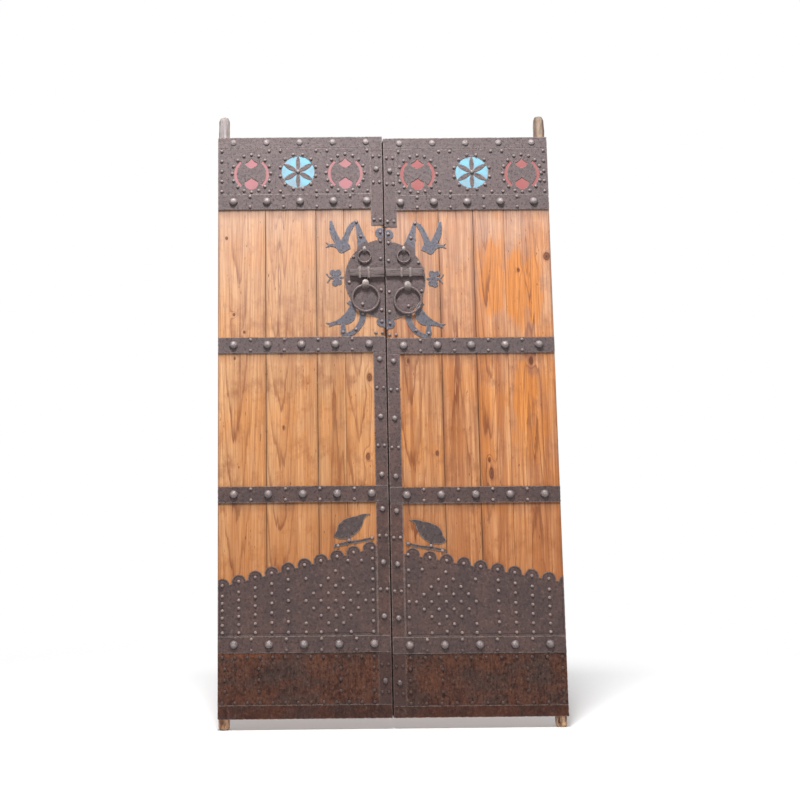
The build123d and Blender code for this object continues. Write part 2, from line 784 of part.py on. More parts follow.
def lock_nails(leaf):
    """The nails of one half of the lock plate and those through the horn and the curved leaf."""
    middle = lock_plate_middle - leaf.drop
    upper = middle + upper_lobe_rise
    lower = middle - lower_lobe_fall
    places = [(lobe_offset, z) for z in (upper + 2, upper - 32, middle + lock_plate_radius / 2,
                                         middle - lock_plate_radius * 0.29, lower + 44, lower)]
    marks = [*leaf.rim_nails, (86, -98), (86, -135), (112, -193)]
    places += [(x * plate_scale, middle + up * plate_scale) for x, up in marks]
    horn_marks = ((89, 163), (105, 220))
    places += [(x * plate_scale + leaf.swallow_shift, middle + up * plate_scale) for x, up in horn_marks]
    return places


def silhouette_nails(leaf):
    """The nails through the foot of the perched bird and the branch."""
    branch = branch_middle - leaf.drop - leaf.bird_drop
    perched = [(160 * plate_scale, lock_plate_middle - leaf.drop - 203 * plate_scale)]
    return perched + [(190, branch - 19), (149, branch), (66, branch + 8)]


def wood_nails(leaf):
    """The pair driven straight into the wood above the middle band."""
    height = middle_band_middle + band_width / 2 - leaf.drop + 13
    strip_x = (iron_edge + strip_edge) / 2
    return [(strip_x + side * strip_nail_half, height) for side in (-1, 1)]


def nail_heads(leaf):
    head = nail_head()
    nails = heads(head, plank_front + band_thickness, band_nails(leaf))
    nails += heads(head, plank_front + strip_thickness, strip_nails(leaf))
    nails += heads(head, panel_lift + sheet_thickness, panel_nails(leaf))
    nails += heads(head, plank_front + sheet_thickness, plate_nails(leaf) + kick_nails(leaf))
    nails += heads(head, lock_front, lock_nails(leaf))
    nails += heads(head, lock_front, silhouette_nails(leaf))
    nails += heads(head, plank_front, wood_nails(leaf))
    return nails


def build_leaf(leaf):
    """Write every sub-part of one leaf."""
    def keep(name, *shapes):
        save(f"{leaf.name}_{name}", [place(shape, leaf) for shape in shapes])

    def silhouette(name, sketch):
        keep(name, on_front(Pos(0, -leaf.drop) * sketch, plank_front, cut_plate_thickness))

    for number, board in enumerate(planks(leaf), start=1):
        keep(f"plank_{number}", board)
    keep("back_battens", *battens(leaf))
    keep("upper_peg", upper_peg(leaf))
    keep("lower_peg", lower_peg())
    keep("top_edge_strap", top_edge_strap(leaf))
    keep("upper_band", band(leaf, upper_band_middle, strip_edge))
    keep("middle_band", band(leaf, middle_band_middle))
    keep("lower_band", band(leaf, lower_band_middle))
    keep("bottom_band", band(leaf, bottom_band_middle))
    keep("foot_strap", foot_strap(leaf))
    keep("meeting_strips", *meeting_strips(leaf))
    keep("pierced_panel", pierced_panel(leaf))
    keep("painted_backing", *painted_backing(leaf))
    keep("kick_plate", kick_plate(leaf))
    keep("scalloped_plate", scalloped_plate(leaf))
    silhouette("lock_plate", lock_plate_sketch(leaf))
    silhouette("swallow", swallow_sketch(leaf))
    silhouette("butterfly", butterfly_sketch() - lock_plate_sketch(leaf))
    silhouette("perched_bird", perched_bird_sketch() - lock_plate_sketch(leaf))
    silhouette("branch_bird", branch_bird_sketch(leaf))
    keep("dome_studs", *stud_heads(leaf))
    keep("nails", *nail_heads(leaf))
    large, small = ring_places(leaf)
    keep("large_ring", large * ring(large_ring_radius, large_wire_radius))
    keep("small_ring", small * ring(small_ring_radius, small_wire_radius))
    saddles = [large * saddle(large_bore, large_saddle_width, large_saddle_hood),
               small * saddle(small_bore, small_saddle_width, small_saddle_hood)]
    keep("saddle_staples", *saddles, *bolt_staples(leaf))
    if leaf.mirrored:
        keep("keeper_channel", keeper_channel())
    else:
        keep("door_bolt", door_bolt())


os.makedirs("parts", exist_ok=True)
build_leaf(left_leaf)
build_leaf(right_leaf)
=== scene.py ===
import json
import math

import bpy
import numpy as np
from mathutils.geometry import delaunay_2d_cdt
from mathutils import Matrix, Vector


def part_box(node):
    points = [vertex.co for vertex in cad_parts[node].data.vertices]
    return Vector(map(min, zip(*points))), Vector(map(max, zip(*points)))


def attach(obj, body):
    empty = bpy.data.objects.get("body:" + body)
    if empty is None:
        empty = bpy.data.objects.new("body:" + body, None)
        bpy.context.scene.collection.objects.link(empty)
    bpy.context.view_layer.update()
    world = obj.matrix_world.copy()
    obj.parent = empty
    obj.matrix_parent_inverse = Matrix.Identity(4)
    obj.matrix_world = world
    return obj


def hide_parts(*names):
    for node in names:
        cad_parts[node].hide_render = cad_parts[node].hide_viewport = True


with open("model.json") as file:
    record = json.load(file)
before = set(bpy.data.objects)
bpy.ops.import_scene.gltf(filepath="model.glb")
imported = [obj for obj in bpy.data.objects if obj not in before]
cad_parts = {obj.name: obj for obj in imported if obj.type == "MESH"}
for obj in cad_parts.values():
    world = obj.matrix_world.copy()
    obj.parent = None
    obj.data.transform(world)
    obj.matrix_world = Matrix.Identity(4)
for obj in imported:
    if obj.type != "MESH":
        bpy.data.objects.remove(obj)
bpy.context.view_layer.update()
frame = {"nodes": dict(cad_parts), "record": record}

bodies = frame["record"]["behaviour"]["bodies"]
body_of = {node: body for body, nodes in bodies.items() for node in nodes}
sides = ("left", "right")


# Planks
# Each leaf is four softwood planks set edge to edge, planed by hand, with their edges rubbed round.
# The outer plank of each leaf is bored at both ends for the tenons of its pivot pegs.

plank_edge_radius = 0.0022
plank_step, plank_row = 0.009, 0.02
bore_radius, bore_depth = 0.01606, 0.112
seam_dirt = 0.004


def swell(points, size, seed, waves=9):
    """Smooth unevenness of about -1 to 1: a sum of sine waves across the points, with directions
    and phases drawn at random and wavelengths near size."""
    draw = np.random.default_rng(seed)
    ways = draw.normal(size=(waves, points.shape[-1]))
    ways /= np.linalg.norm(ways, axis=1, keepdims=True)
    ways *= 2 * math.pi / size * draw.uniform(0.6, 1.5, (waves, 1))
    return np.sin(points @ ways.T + draw.uniform(0, 2 * math.pi, waves)).sum(-1) / waves ** 0.5


def new_mesh(name, points, *faces):
    """A mesh from an array of points and arrays of faces, each array with one number of corners."""
    mesh = bpy.data.meshes.new(name)
    corners = np.concatenate([face.ravel() for face in faces])
    sizes = np.concatenate([np.full(len(face), face.shape[1]) for face in faces])
    mesh.vertices.add(len(points))
    mesh.vertices.foreach_set("co", np.ascontiguousarray(points, np.float32).ravel())
    mesh.loops.add(len(corners))
    mesh.loops.foreach_set("vertex_index", corners.astype(np.int32))
    mesh.polygons.add(len(sizes))
    mesh.polygons.foreach_set("loop_start", (np.cumsum(sizes) - sizes).astype(np.int32))
    mesh.update(calc_edges=True)
    mesh.validate()
    return mesh


def put(name, data):
    """A new object in the scene."""
    made = bpy.data.objects.new(name, data)
    bpy.context.scene.collection.objects.link(made)
    return made


def piece(name, mesh, node, finish, sharp=40.0):
    """Put a mesh in the scene in place of a CAD node, riding on that node's body, in one finish."""
    made = put(name, mesh)
    mesh.materials.append(finish)
    mesh.shade_smooth()
    mesh.set_sharp_from_angle(angle=math.radians(sharp))
    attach(made, body_of[node])
    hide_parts(node)


def worn(mesh, values):
    """Keep how much wear or dirt each point has, or how far it is raised, and on heads and saddles
    the painted highlight and shade it carries, for the finish to read.
    """
    layer = mesh.attributes.new("worn", "FLOAT", "POINT")
    layer.data.foreach_set("value", np.ascontiguousarray(values, np.float32).ravel())


def wrap(rows, around):
    """Faces of a tube of rows rings with around points each; their corners go round and up."""
    low = np.arange(rows - 1)[:, None] * around
    here, there = np.arange(around), (np.arange(around) + 1) % around
    square = [low + here, low + there, low + there + around, low + here + around]
    return np.stack(square, -1).reshape(-1, 4)


def round_turn(count):
    """Angles set evenly round a circle."""
    return np.linspace(0, 2 * math.pi, count, endpoint=False)


def ways(turn):
    """Directions in a plane at angles."""
    return np.stack([np.cos(turn), np.sin(turn)], -1)


def lifted(flat, third):
    """Points with a third number added to their two."""
    third = np.broadcast_to(third, flat.shape[:-1])
    return np.concatenate([flat, third[..., None]], -1)


def fans(rings, poles, upward):
    """Triangles that close rings of points, each with its own pole point."""
    after = np.roll(rings, -1, -1)
    pair = (rings, after) if upward else (after, rings)
    return np.stack([*pair, poles + 0 * rings], -1).reshape(-1, 3)


def tube(points):
    """The points and faces of rows of points one above another, with both ends closed by fans."""
    count, around = points.shape[:2]
    poles = points[[0, -1]].mean(1)
    first, end = np.arange(around), count * around
    caps = np.concatenate([fans(first, end, False), fans(first + end - around, end + 1, True)])
    return np.concatenate([points.reshape(-1, 3), poles]), wrap(count, around), caps


def board(low, high, seed, bore=None):
    """A plank: a rectangle with round corners carried up the grain. Round the section, a point is
    the inner rectangle's edge plus the corner radius along the outward direction, and the radius
    and the faces swell a little up the plank. At each end the radius shrinks to nothing, and a
    bored end goes on as a ring round the bore and a ring at its bottom."""
    low, high = np.array(low), np.array(high)
    radius = plank_edge_radius
    corners = np.array([[0, 0], [1, 0], [1, 1], [0, 1]])
    steps = max(6, int((high[0] - low[0]) / plank_step))
    across, turn = [], []
    for k, count in enumerate((steps, 5, steps, 5)):
        start, after = corners[k], corners[(k + 1) % 4]
        across += [start + np.linspace(0, 1, count)[:, None] * (after - start), [after, after]]
        turn += [90 * k - 90] * count + [90 * k - 60, 90 * k - 30]
    inner = low[:2] + radius + np.concatenate(across) * (high[:2] - low[:2] - 2 * radius)
    turn = np.radians(turn)
    ends = np.array([0, 0.3, 1]) * radius
    rows = int((high[2] - low[2]) / plank_row)
    between = np.linspace(low[2] + 2 * radius, high[2] - 2 * radius, rows)
    heights = np.concatenate([low[2] + ends, between, (high[2] - ends)[::-1]])
    inset = np.concatenate([[0, 0.7], np.ones(rows + 2), [0.7, 0]])[:, None, None]
    way = ways(turn)
    points = lifted(inner + way * radius * inset, heights[:, None])
    drift = points * np.array([1.0, 1.0, 0.2])
    dents = 0.00012 * swell(drift, 0.05, seed) + 0.0001 * swell(drift, 0.012, seed + 1)
    points[2:-2, :, :2] += way * np.minimum(dents, 0)[2:-2, :, None]
    if bore is not None:
        angle = np.arctan2(points[0, :, 1] - bore[1], points[0, :, 0] - bore[0])
        circle = np.array(bore[:2]) + bore_radius * ways(angle)
        below = [lifted(circle, z) for z in (low[2] + bore_depth, low[2])]
        above = [lifted(circle, z) for z in (high[2], high[2] - bore_depth)]
        points = np.concatenate([below, points, above])
    return tube(points)


def paint(red, green, blue):
    """A colour as it is seen, 0 to 255, turned into the shader's linear values."""
    seen = np.array([red, green, blue]) / 255
    line = np.where(seen <= 0.04045, seen / 12.92, ((seen + 0.055) / 1.055) ** 2.4)
    return (*(float(part) for part in line), 1.0)


class Value:
    """One output of a shader node. Sums, products and so on of values add their Math nodes."""

    def __init__(self, nodes, socket):
        self.nodes = nodes
        self.socket = socket

    def math(self, operation, *others):
        values = dict(enumerate((self, *others)))
        return self.nodes.add("ShaderNodeMath", {"operation": operation}, values)

    def __add__(self, other):
        return self.math("ADD", other)

    def __sub__(self, other):
        return self.math("SUBTRACT", other)

    def __mul__(self, other):
        return self.math("MULTIPLY", other)

    def __truediv__(self, other):
        return self.math("DIVIDE", other)

    def __pow__(self, other):
        return self.math("POWER", other)

    def __rsub__(self, other):
        return self * -1 + other

    __radd__ = __add__
    __rmul__ = __mul__

    def ramp(self, *stops):
        """The value turned into another, between stops of (position, level)."""
        stops = [(position, (level, level, level, 1)) for position, level in stops]
        return self.nodes.add("ShaderNodeValToRGB", {"stops": stops}, {0: self})

    def above(self, start, end, level=1.0):
        """A share that rises from nothing at start to level at end."""
        return self.ramp((start, 0.0), (end, level))

    def below(self, start, end, level=1.0):
        """A share that falls from level at start to nothing at end."""
        return self.ramp((start, level), (end, 0.0))


class Nodes:
    """A tree of shader nodes."""

    def __init__(self, tree):
        self.tree = tree

    def add(self, kind, settings=None, sockets=None, out=0):
        """A node of any type: its settings first, then the values or links of its sockets."""
        node = self.tree.nodes.new(kind)
        for key, value in (settings or {}).items():
            if key == "stops":
                while len(node.color_ramp.elements) < len(value):
                    node.color_ramp.elements.new(0.5)
                for stop, (position, colour) in zip(node.color_ramp.elements, value):
                    stop.position, stop.color = position, colour
            else:
                setattr(node, key, value)
        for key, value in (sockets or {}).items():
            if isinstance(value, Value):
                self.tree.links.new(value.socket, node.inputs[key])
            else:
                node.inputs[key].default_value = value
        return Value(self, node.outputs[out])


class Finish(Nodes):
    """A material being put together: its nodes, its shader, the colour laid so far and the place of
    a point on the object."""

    def __init__(self, name, colour, **plain):
        self.material = bpy.data.materials.new(name)
        self.material.use_nodes = True
        super().__init__(self.material.node_tree)
        self.colour = colour
        self.shader = self.tree.nodes["Principled BSDF"]
        for socket, value in plain.items():
            self.shader.inputs[socket.replace("_", " ")].default_value = value
        self.place = self.add("ShaderNodeTexCoord", out="Object")
        self.x, self.y, self.z = (self.add("ShaderNodeSeparateXYZ", {}, {0: self.place}, out=axis)
                                  for axis in "XYZ")

    def noise(self, size, stretch=(1, 1, 1), shift=(0, 0, 0), detail=3.0, rough=0.55):
        """Cloudy unevenness, 0 to 1, with lumps of about size drawn out by stretch."""
        scale = tuple(1 / (size * part) for part in stretch)
        scaled = self.add("ShaderNodeVectorMath", {"operation": "MULTIPLY_ADD"},
                          {0: self.place, 1: scale, 2: shift})
        return self.add("ShaderNodeTexNoise", {},
                        {"Vector": scaled, "Scale": 1.0, "Detail": detail, "Roughness": rough})

    def wear_dirt_and_light(self):
        """What worn() kept on the points of the mesh."""
        return self.add("ShaderNodeAttribute", {"attribute_name": "worn"}, out="Fac")

    def mix(self, share, first, second):
        """Two colours mixed by a share of the second."""
        sockets = {0: share, 6: first, 7: second}
        return self.add("ShaderNodeMix", {"data_type": "RGBA"}, sockets, out=2)

    def lay(self, share, *colour):
        """Lay a share of a colour, given whole or as its three parts, over the colour so far."""
        colour = paint(*colour) if len(colour) == 3 else colour[0]
        self.colour = self.mix(share, self.colour, colour)

    def feed(self, socket, value):
        self.tree.links.new(value.socket, self.shader.inputs[socket])

    def done(self, height, depth):
        """The material, with its colour and a bump that stands depth metres high at height 1."""
        self.feed("Base Color", self.colour)
        self.feed("Normal", self.add("ShaderNodeBump", {}, {"Distance": depth, "Height": height}))
        return self.material


leaf_middle = 1.1


def band_shadow_and_dirt(wood, side):
    """How much painted shadow, with some dirt, lies on the planks just under each band of a leaf,
    by the height.
    """
    reach = 2.4
    stops = []
    for band in ("bottom_band", "lower_band", "middle_band", "upper_band"):
        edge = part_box(f"{side}_{band}")[0][2] / reach
        stops += [(edge - 0.018, 0.0), (edge - 0.004, 0.35), (edge, 1.0), (edge + 0.002, 0.0)]
    return (wood.z / reach).ramp(*stops)


def plank_finish(node, seed, light, dark, figure, pith, depth, lean, spacing, warmth, knots,
                 stains):
    """Flat-sawn softwood: growth rings round a pith that lies behind the face at depth and leans
    along the plank, so that the face cuts them in arches. Each ring darkens slowly and ends
    sharply, most clearly over the pith. Strips of another tone, dark streaks, fibres, stains and
    knots that push the rings aside go over that, and old smoke and wax have turned it browner
    towards the foot."""
    wood = Finish(node + "_wood", light, Specular_IOR_Level=0.22)
    shift = (seed * 3.7, seed * 1.3, seed * 2.1)
    bend = wood.noise(0.12, (1, 1, 9), shift, detail=2.0)
    waver = wood.noise(0.018, (1, 1, 14), shift)
    aside = wood.x - pith + (bend - 0.5) * 0.07
    behind = (wood.z - leaf_middle) * lean + wood.y * -1 + depth + (waver - 0.5) * 0.012
    rings = (aside * aside + behind * behind) ** 0.5
    core = None
    for x, z, size, slim in knots:
        off_x, off_z = wood.x - x, (wood.z - z) * slim
        away = (off_x * off_x + off_z * off_z) ** 0.5 + (waver - 0.5) * size * 0.7
        push = (away * away * (-0.35 / size ** 2)).math("EXPONENT")
        rings = rings + push * size * 1.8
        if slim < 0.1:
            stops = ((0.0, 0.0), (0.38, 0.0), (0.5, 0.45), (0.62, 0.0))
        else:
            stops = ((0.0, 1.0), (0.3, 0.7), (0.5, 0.9), (0.66, 0.25), (0.9, 0.0))
        spot = (away / (size * 1.5)).ramp(*stops)
        core = spot if core is None else core.math("MAXIMUM", spot)
    turn = (rings / spacing).math("FRACT")
    late = turn.ramp((0.0, 0.1), (0.25, 0.0), (0.72, 0.2), (0.88, 1.0), (0.95, 1.0), (1.0, 0.1))
    over_pith = (aside * aside * -500).math("EXPONENT")
    strength = wood.noise(0.05, (1, 1, 16), shift).ramp((0.3, 0.4), (0.6, 1.0))
    strength = strength * (over_pith * 0.8 + 0.2)
    tone = wood.noise(0.034, (1, 1, 50), (seed * 5.1, 2, 1), detail=2.0, rough=0.6)
    streak = wood.noise(0.011, (1, 1, 34), (seed * 1.9, 4, 1), rough=0.6)
    fibre = wood.noise(0.0026, (1, 1, 60), shift, detail=4.0, rough=0.65)
    split = wood.noise(0.0065, (1, 1, 90), (seed * 2.9, 6, 2), detail=2.0, rough=0.4)
    cloud = wood.noise(0.13, (1, 1, 1.8), (seed, 7, 3), detail=4.0, rough=0.6)
    smudge = wood.noise(0.05, (1, 1, 1.3), (seed * 1.7, 9, 3), detail=4.0, rough=0.65)
    wood.lay(tone.above(0.38, 0.6, 0.95 * figure), dark)
    wood.lay(streak.above(0.5, 0.66, 0.75 * figure ** 2), dark)
    wood.lay(streak.below(0.28, 0.44, 0.55), 232, 184, 132)
    wood.lay(smudge.above(0.5, 0.7, 0.6), 146, 92, 62)
    stain = cloud.above(0.46, 0.62, warmth)
    for x, z, wide, high, much in stains:
        off_x, off_z = (wood.x - x) / wide, (wood.z - z) / high
        away = (off_x ** 4 + off_z * off_z) + (tone - 0.5) * 2.2 + (smudge - 0.5) * 1.8
        stain = stain.math("MAXIMUM", away.below(0.35, 0.95, much))
    low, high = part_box(node)
    front = wood.y.math("LESS_THAN", (low[1] + high[1]) / 2)
    stain = stain * front
    wood.lay(stain, 216, 134, 58)
    wood.lay(wood.z.ramp((0.5, 0.55), (0.9, 0.12), (1.0, 0.0)), 172, 106, 56)
    # Painted glare: a pale grey is laid over the wood, more the higher it is and less where it is
    # stained.
    painted_glare = (wood.z - 1.2).ramp((0.0, 0.0), (0.45, 0.26), (0.8, 0.56))
    wood.lay(late * strength * (0.5 + 0.4 * figure), 116, 62, 36)
    wood.lay(painted_glare * (1.12 - stain), 199, 171, 157)
    wood.lay(fibre.below(0.33, 0.58, 0.45), 120, 68, 40)
    wood.lay(split.above(0.72, 0.77, 0.6), 98, 58, 40)
    pits = wood.noise(0.006, (1, 1, 5), (seed, 1, 9), detail=2.0).above(0.7, 0.76, 0.7)
    wood.lay(pits, 92, 54, 34)
    wood.lay(wood.z.below(0.0, 0.12, 0.5), 96, 84, 74)
    if core is not None:
        wood.lay(core, 92, 50, 36)
    # Dirt darkens the joints, and a painted shadow with some dirt darkens the front just under each
    # band.
    near = band_shadow_and_dirt(wood, node.split("_")[0])
    joint_dirt_and_band_shadow = wood.wear_dirt_and_light().math("MAXIMUM", near * (smudge + 0.35) * front)
    wood.lay(joint_dirt_and_band_shadow, 66, 42, 34)
    wood.feed("Roughness", 0.7 - late * 0.14 + pits * 0.15)
    return wood.done(late * 0.4 + fibre * 0.5 - pits * 1.2 + streak * 0.5 - split * 0.4, 0.0007)


# Each leaf: the light and the dark tone of its wood and how clearly they differ. Each plank: its
# brightness, the place, depth and lean of its pith, the width of a ring, how warm its clouds are,
# its knots (x, z, size, width over height), its stains (x, z, half width, half height, strength).
leaf_looks = {"left": (paint(217, 166, 120), paint(178, 124, 82), 0.72),
              "right": (paint(219, 161, 114), paint(164, 105, 69), 1.0)}
plank_looks = {
    "left_plank_1": (0.95, -0.105, 0.048, -0.045, 0.0105, 0.3,
        ((-0.065, 1.27, 0.01, 0.55), (-0.075, 0.975, 0.009, 0.55)), ()),
    "left_plank_2": (0.88, -0.19, 0.12, 0.01, 0.011, 0.2, (),
        ((-0.25, 1.1, 0.05, 0.1, 0.3),)),
    "left_plank_3": (1.0, -0.397, 0.045, -0.04, 0.0085, 0.25,
        ((-0.397, 1.69, 0.007, 0.07), (-0.385, 1.085, 0.004, 0.5)), ()),
    "left_plank_4": (1.04, -0.556, 0.035, -0.035, 0.01, 0.3,
        ((-0.596, 1.806, 0.006, 0.8), (-0.568, 1.512, 0.006, 0.8),
        (-0.53, 1.445, 0.005, 0.8), (-0.566, 1.346, 0.004, 0.6)), ()),
    "right_plank_1": (0.86, 0.096, 0.05, -0.04, 0.01, 0.35,
        ((0.18, 0.985, 0.007, 0.55), (0.08, 1.33, 0.005, 0.5)), ()),
    "right_plank_2": (1.03, 0.27, 0.11, 0.012, 0.0105, 0.3, (), ()),
    "right_plank_3": (1.11, 0.378, 0.035, -0.035, 0.009, 0.5,
        ((0.378, 0.91, 0.009, 0.35), (0.372, 0.96, 0.006, 0.5)),
        ((0.4, 1.64, 0.055, 0.16, 0.75),)),
    "right_plank_4": (1.12, 0.54, 0.03, 0.025, 0.0095, 0.5,
        ((0.538, 1.327, 0.009, 0.55), (0.612, 1.725, 0.014, 0.8),
        (0.503, 1.673, 0.006, 0.7), (0.535, 1.73, 0.0065, 0.07),
        (0.545, 1.58, 0.005, 0.05), (0.54, 1.08, 0.005, 0.05)),
        ((0.52, 1.615, 0.08, 0.185, 0.8), (0.515, 1.2, 0.05, 0.16, 0.7))),
}
tight_seams = {"left": 0.1517, "right": 0.4533}
for number, (node, look) in enumerate(plank_looks.items()):
    low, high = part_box(node)
    side = node.split("_")[0]
    bore = None
    if node.endswith("4"):
        peg_low, peg_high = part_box(side + "_upper_peg")
        bore = (peg_low + peg_high) / 2
    points, *faces = board(low, high, 10 + number, bore)
    mesh = new_mesh(node, points, *faces)
    edges = [points[:, 0] - low[0], high[0] - points[:, 0]]
    for k, other in enumerate((low[0], high[0])):
        if abs(abs(other) - tight_seams[side]) < 0.003:
            edges[k] = edges[k] + seam_dirt
    edge = np.minimum(*edges)
    at_seam = np.exp(-np.maximum(np.abs(points[:, 0]) - 0.003, 0) / seam_dirt)
    worn(mesh, np.maximum(np.exp(-edge / plank_edge_radius) * 0.8, at_seam))
    bright, *look = look
    light, dark, figure = leaf_looks[side]
    light, dark = ((*(part * bright for part in colour[:3]), 1.0) for colour in (light, dark))
    finish = plank_finish(node, number + 1, light, dark, figure, *look)
    piece(node + "_board", mesh, node, finish, sharp=60)


# Battens
# Four sawn bars are nailed across the back of each leaf, behind its iron bands.
# They are left rough, with their arrises taken off.

def shape_of(node):
    """The points of a CAD node and the three corners of each of its faces."""
    mesh = frame["nodes"][node].data
    points = np.empty(len(mesh.vertices) * 3, np.float32)
    mesh.vertices.foreach_get("co", points)
    corners = np.empty(len(mesh.loops), np.int32)
    mesh.loops.foreach_get("vertex_index", corners)
    return points.reshape(-1, 3), corners.reshape(-1, 3)


def eased(node, width, segments=2, left_out=()):
    """A copy of a CAD node's solids with whole faces, its arrises rounded to width. Solids inside
    the boxes left_out are not copied."""
    points, corners = shape_of(node)
    middle = points[corners].mean(1)
    for low, high in left_out:
        kept = ((middle < low - 1e-5) | (middle > high + 1e-5)).any(1)
        corners, middle = corners[kept], middle[kept]
    used, corners = np.unique(corners, return_inverse=True)
    made = put("eased", new_mesh(node, points[used], corners.reshape(-1, 3)))
    weld = made.modifiers.new("weld", "WELD")
    weld.merge_threshold = 0.00001
    plain = made.modifiers.new("plain", "DECIMATE")
    plain.decimate_type, plain.angle_limit = "DISSOLVE", math.radians(1)
    rounded = made.modifiers.new("rounded", "BEVEL")
    rounded.width, rounded.segments = width, segments
    rounded.limit_method, rounded.angle_limit = "ANGLE", math.radians(30)
    graph = bpy.context.evaluated_depsgraph_get()
    ready = bpy.data.meshes.new_from_object(made.evaluated_get(graph))
    bpy.data.objects.remove(made)
    return ready


def plain_wood_finish(name, light, dark, drawn):
    """Bare sawn or split wood: fibres and streaks drawn out along one axis, and greyed patches."""
    wood = Finish(name, light, Roughness=0.8, Specular_IOR_Level=0.2)
    twice = tuple(part * 2 if part > 1 else 1 for part in drawn)
    fibre = wood.noise(0.0026, twice, detail=4.0, rough=0.7)
    streak = wood.noise(0.012, drawn, (3, 5, 1))
    patch = wood.noise(0.05, (1, 1, 1), (1, 8, 2), detail=2.0)
    wood.lay(streak.above(0.35, 0.65), dark)
    wood.lay(fibre.below(0.3, 0.6, 0.55), 62, 44, 32)
    wood.lay(patch.above(0.45, 0.7, 0.5), 140, 122, 104)
    return wood.done(fibre + streak, 0.0008)


arris = 0.0015
batten_finish = plain_wood_finish("batten_wood", paint(176, 126, 84), paint(120, 78, 48),
                                  (14, 1, 1))
for side in sides:
    node = side + "_back_battens"
    piece(side + "_batten_bars", eased(node, arris), node, batten_finish)


# Pivot pegs
# A bare round peg stands out of each outer corner, with a tenon in the plank, which turns on it.
# The pegs are axe-shaped and never painted; their free ends are bevelled, worn and chipped.

peg_tenon_radius = 0.01595
peg_tenon_length = 0.1103
peg_grain_radius = 0.022
peg_around = 48
peg_looks = {"left_upper": (paint(168, 160, 159), paint(126, 118, 120), (1, 1, 14)),
             "left_lower": (paint(222, 180, 146), paint(128, 88, 64), (1, 1, 3)),
             "right_upper": (paint(164, 144, 128), paint(106, 90, 80), (1, 1, 14)),
             "right_lower": (paint(224, 184, 152), paint(84, 54, 42), (1, 1, 2))}


def peg(node, upper, seed):
    """A peg turned about its axis: the radius follows the height in steps from tenon to shoulder to
    head, and outside the plank the axe's flats and wear take a little off it, most at its end."""
    low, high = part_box(node)
    middle, radius = (low + high) / 2, (high[0] - low[0]) / 2
    length, tenon = high[2] - low[2], peg_tenon_length
    free = length - tenon
    rise, bevel = (0.016, 0.0055) if upper else (0.009, 0.0035)
    up_bevel = np.linspace(0.1, 0.96, 6)
    heights = np.concatenate([[0, 0.003], np.linspace(0.01, tenon - 0.001, 8),
                              [tenon, tenon, tenon + 0.001],
                              tenon + np.linspace(0.002, free - rise, 26),
                              length - rise * (1 - up_bevel), [length - 0.0002, length]])
    radii = np.concatenate([[peg_tenon_radius - 0.003], np.full(10, peg_tenon_radius),
                            [radius - 0.0015, radius - 0.0004], np.full(26, radius - 0.0004),
                            radius - 0.0004 - bevel * up_bevel ** 1.5,
                            [radius - bevel - 0.0015, radius - bevel - 0.003]])
    unit = ways(round_turn(peg_around))
    out = np.clip((heights - tenon) / free, 0, 1)[:, None]
    grain = np.broadcast_to(unit * peg_grain_radius, (len(heights), *unit.shape))
    spot = lifted(grain, heights[:, None] * 0.4)
    cut = np.abs(swell(spot, 0.03, seed)) * 0.0011 + np.abs(swell(spot, 0.009, seed + 1)) * 0.0004
    chips = np.maximum(swell(spot, 0.018, seed + 3) - 0.2, 0) * 0.004 * out ** 6
    wear = np.abs(swell(spot, 0.05, seed + 2)) * 0.003 * out ** 3
    cut = cut * np.minimum(out * 6, 1) + wear + chips
    rings = unit * (radii[:, None] - cut)[:, :, None] + np.array(middle[:2])
    up = low[2] + heights if upper else high[2] - heights
    points = lifted(rings, up[:, None])
    return new_mesh(node, *tube(points if upper else points[::-1]))


for number, side in enumerate(sides):
    for place in ("upper", "lower"):
        name = f"{side}_{place}"
        finish = plain_wood_finish(name + "_peg_wood", *peg_looks[name])
        mesh = peg(name + "_peg", place == "upper", 40 + number)
        piece(name + "_pivot_peg", mesh, name + "_peg", finish, sharp=50)


# Straps, bands, strips and plates
# Hand-forged sheet iron, hammered flat, cut by eye and nailed through to the battens. It is waxed
# nearly black, rubbed along its edges, and rusty where feet and rain reach the kick plates.

def welded(points):
    """The places of points, to a thousandth of a millimetre, and the number of each one's place."""
    spots, place = np.unique(np.round(points * 1e6).astype(np.int64), axis=0, return_inverse=True)
    return spots / 1e6, place.reshape(-1)


def rim_of(node, step):
    """The rim of the front face of flat CAD plates, cut into lengths of about step: its points,
    x and z, the number of the point after each, and the inward direction at each, halfway between
    those of its two neighbours. Then the height of the face and how thick the iron is."""
    points, corners = shape_of(node)
    points = points.astype(float)
    front, back = points[:, 1].min(), points[:, 1].max()
    spots, place = welded(points[:, [0, 2]])
    faces = place[corners[(points[corners, 1] < front + 1e-5).all(1)]]
    edges = np.concatenate([faces[:, [0, 1]], faces[:, [1, 2]], faces[:, [2, 0]]])
    there, back_again = edges @ [len(spots), 1], edges @ [1, len(spots)]
    edges = edges[~np.isin(there, back_again)]
    start, end = spots[edges[:, 0]], spots[edges[:, 1]]
    count = np.maximum(1, np.round(np.linalg.norm(end - start, axis=1) / step)).astype(int)
    first = np.cumsum(count) - count
    part = (np.arange(count.sum()) - np.repeat(first, count)) / np.repeat(count, count)
    rim = np.repeat(start, count, 0) + np.repeat(end - start, count, 0) * part[:, None]
    begins = np.zeros(len(spots), int)
    begins[edges[:, 0]] = first
    after = np.arange(len(rim)) + 1
    after[first + count - 1] = begins[edges[:, 1]]
    way = rim[after] - rim
    way = np.stack([-way[:, 1], way[:, 0]], 1) / np.linalg.norm(way, axis=1, keepdims=True)
    inward = way.copy()
    inward[after] += way
    share = np.maximum((inward * inward).sum(1, keepdims=True) / 2, 0.9)
    return rim, after, inward / share, front, back - front


